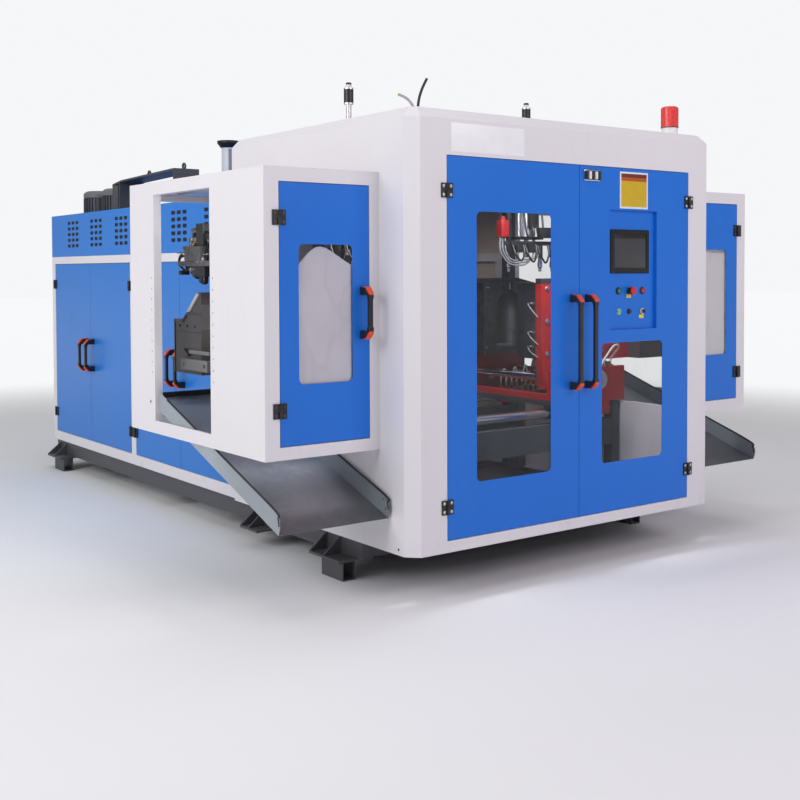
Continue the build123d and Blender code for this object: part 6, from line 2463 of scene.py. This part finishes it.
    def build(self) -> None:
        """Builds the dressing of both carriages."""
        for side in Side:
            middle = side.value * PLAN.station_x
            body = f"carriage_{side.word}"
            caps = Shape(f"clamp_cylinder_caps_{side.word}", ALUMINIUM, body)
            fittings = Shape(f"carriage_fittings_{side.word}", BRASS, body)
            lines = Shape(f"carriage_lines_{side.word}", HOSE_BLACK, body)
            pale = Shape(f"carriage_air_lines_{side.word}", HOSE_WHITE, body)
            for way in Way:
                self.cylinder(middle, way, caps)
                self.ports(middle, way, fittings, lines)
                self.controls(middle, way, fittings, pale)
            self.manifold(side, fittings, pale)
            self.loops(side, fittings, lines, pale)
            for shape in (caps, fittings, lines, pale):
                shape.build()


@dataclass(frozen=True)
class StationDress:
    """Bolts, hangers, valves and air lines on the fixed frame and blow cylinders.

    X places are distances from the machine's middle unless a method says otherwise.
    """

    bolt_x: float = 0.075
    bolt_y: float = 0.0399
    bolt_z: float = 1.840
    bar_depth: float = 0.084
    bar_x: Pair = (0.362, 0.836)
    bar_z: Pair = (1.588, 1.612)
    hangers: Profile = ((0.406, 1.861), (0.650, 1.590), (0.812, 1.861), (0.745, 1.590))
    hanger_low: float = 1.520
    rod: Profile = (
        (0, 0.011), (0.030, 0.011), (0.032, 0.014), (0.060, 0.014), (0.064, 0.009), (0.082, 0.009),
        (0.086, 0.005),
    )
    units: Pair = (0.470, 0.565)
    unit_half: float = 0.022
    unit_y: Pair = (-0.030, 0.012)
    unit_z: Pair = (1.546, 1.588)
    valve_y: Pair = (-0.075, -0.044)
    valve_z: Pair = (1.690, 1.780)
    valve_half: float = 0.032
    side_valve_x: Pair = (0.600, 0.712)
    side_valve_y: Pair = (-0.139, -0.111)
    side_valve_z: Pair = (1.630, 1.690)
    air_unit_x: Pair = (0.335, 0.391)
    air_unit_z: Pair = (1.634, 1.728)
    air_cap: Profile = ((0, 0.018), (0.010, 0.018), (0.016, 0.012), (0.022, 0.012))
    air_line: Path = (
        (0.018, -0.070, 1.700), (0.018, -0.082, 1.650), (0.060, -0.080, 1.640), (0.070, -0.060, 1.760),
        (0.060, -0.055, 1.855),
    )
    arc: Path = (
        (0, -0.008, 1.590), (0.006, -0.030, 1.535), (0.042, -0.036, 1.500), (0.078, -0.024, 1.540),
        (0.084, -0.008, 1.590),
    )
    arc_growth: Path = ((0, 0, 0), (0, 0, 0), (0, 0, -0.006), (0, 0, 0), (0, 0, 0))
    arc_first: float = 0.430
    arc_pitch: float = 0.095
    drape: Path = (
        (0.345, 0, 1.634), (0.338, -0.010, 1.555), (0.392, -0.026, 1.484), (0.500, -0.030, 1.478),
        (0.575, -0.018, 1.524), (0.600, 0, 1.590),
    )
    drape_growth: Path = (
        (0.018, 0, 0), (0.02, 0, 0), (0.01, 0, 0.010), (0, 0, 0.014), (0.02, 0, 0), (0.02, 0, 0),
    )

    def cylinder(self, side: Side, bolts: Shape, dark: Shape, lines: Shape) -> None:
        """Adds a blow cylinder's bolts, valve and two air lines.

        Args:
            side: the station's side.
            bolts: the zinc piece.
            dark: the black piece.
            lines: the black hoses.
        """
        middle = side.value * PLAN.station_x
        for across in around(middle, self.bolt_x):
            for y in PLAN.station(self.bolt_y):
                bolts.hexagon((across, y, self.bolt_z), DOWN, 0.010, 0.009)
        depth = (PLAN.station_y + self.valve_y[0], PLAN.station_y + self.valve_y[1])
        dark.block(around(middle, self.valve_half), depth, self.valve_z, 0.003)
        for way in (-1, 1):
            lines.tube(moved((middle, PLAN.station_y, 0.0), self.air_line, (way, 1, 1)), 0.006, sides=10)

    def hanging(self, side: Side, dark: Shape, y: float) -> None:
        """Adds the cross bar, its hangers with rods, and the valve blocks in front of a blow cylinder.

        Args:
            side: the station's side.
            dark: the black piece.
            y: Y of the cross bar.
        """
        steel = Shape(f"overhead_rods_{side.word}", STEEL_BRIGHT)
        dark.block(side.span(*self.bar_x), around(y, 0.012), self.bar_z, 0.002)
        for across, top in self.hangers:
            low = self.hanger_low
            x = side.value * across
            dark.turned((x, y, low), UP, ((0, 0.013), (0.004, 0.016), (top - low, 0.016)), 18)
            steel.turned((x, y, low + 0.004), DOWN, self.rod, 18)
        for across in self.units:
            span = side.span(*around(across, self.unit_half))
            dark.block(span, (y + self.unit_y[0], y + self.unit_y[1]), self.unit_z, 0.003)
        depth = (PLAN.station_y + self.side_valve_y[0], PLAN.station_y + self.side_valve_y[1])
        dark.block(side.span(*self.side_valve_x), depth, self.side_valve_z, 0.003)
        steel.build()

    def air_unit(self, side: Side, y: float) -> None:
        """Adds the red air unit at the inner end of the cross bar.

        Args:
            side: the station's side.
            y: Y of the cross bar.
        """
        red = Shape(f"overhead_units_{side.word}", MACHINE_RED)
        red.block(side.span(*self.air_unit_x), around(y, 0.024), self.air_unit_z, 0.006)
        top = (side.value * sum(self.air_unit_x) / 2, y, self.air_unit_z[1])
        red.turned(top, UP, self.air_cap, 18)
        red.build()

    def arcs(self, side: Side, lines: Shape, y: float) -> None:
        """Adds the hoses that hang in arcs under the cross bar.

        Args:
            side: the station's side.
            lines: the black hoses.
            y: Y of the cross bar.
        """
        mirror = (side.value, 1, 1)
        grey = Shape(f"overhead_lines_{side.word}", HOSE_GREY)
        for step in range(3):
            drape = grown(self.drape, self.drape_growth, step)
            grey.tube(moved((0.0, y, 0.0), drape, mirror), 0.0050, rings=7)
        for step in range(4):
            across = side.value * (self.arc_first + self.arc_pitch * step)
            lines.tube(moved((across, y, 0.0), grown(self.arc, self.arc_growth, step), mirror), 0.0058)
        grey.build()

    def build(self) -> None:
        """Builds the fixed dressing round the stations."""
        bolts = Shape("station_bolts", ZINC)
        dark = Shape("blow_valves", BLACK_PLASTIC)
        lines = Shape("blow_lines", HOSE_BLACK)
        y = PLAN.station_y - self.bar_depth
        for side in Side:
            self.cylinder(side, bolts, dark, lines)
            self.hanging(side, dark, y)
            self.air_unit(side, y)
            self.arcs(side, lines, y)
        for shape in (bolts, dark, lines):
            shape.build()


@dataclass(frozen=True)
class BaseDress:
    """Weld beads of the base frame's gussets.

    Gussets are given by the distance of their plate's front behind the front face and the plate's length.
    """

    plates: Profile = ((0.500, 0.260), (1.270, 0.180), (4.160, 0.260))
    gusset_thick: float = 0.010
    across: float = 0.948
    heights: Point = (0.106, 0.140, 0.178)
    bead: float = 0.0035

    def build(self) -> None:
        """Builds the weld beads on both sides of each gusset."""
        beads = Shape("gusset_welds", DARK_CASTING)
        for side in Side:
            for start, length in self.plates:
                for gusset in (start + length / 2, start + length - self.gusset_thick):
                    for edge in (gusset, gusset + self.gusset_thick):
                        x, y = side.value * self.across, PLAN.back(edge)
                        beads.tube([(x, y, height) for height in self.heights], self.bead, sides=6, rings=4)
        beads.build()


@dataclass(frozen=True)
class BeaconDress:
    """Dark seam of the beacon."""

    height: float = 2.1985
    seam: Profile = ((0, 0.040), (0, 0.0468), (0.004, 0.0468), (0.004, 0.040))

    def build(self) -> None:
        """Builds the seam between the beacon's foot and lens."""
        Shape("beacon_seam", RUBBER).turned((*PLAN.beacon, self.height), UP, self.seam, 36).build()


def main() -> None:
    """Builds the dressed machine."""
    logging.basicConfig(level=logging.INFO, format="%(message)s")
    FRAME.update(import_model())
    parts = (
        Studio(), RoofCables(), NodeFinishes(), HingeBolts(), ControlField(), MaskingPapers(), WingDetails(),
        ChuteTrim(), BlowTops(), RearRoof(), VentMesh(), DeflashDress(), NestDress(), MouldDress(),
        CarriageDress(), StationDress(), BaseDress(), BeaconDress(),
    )
    for part in parts:
        part.build()
        LOG.info("built %s", type(part).__name__)


if __name__ == "__main__":
    main()
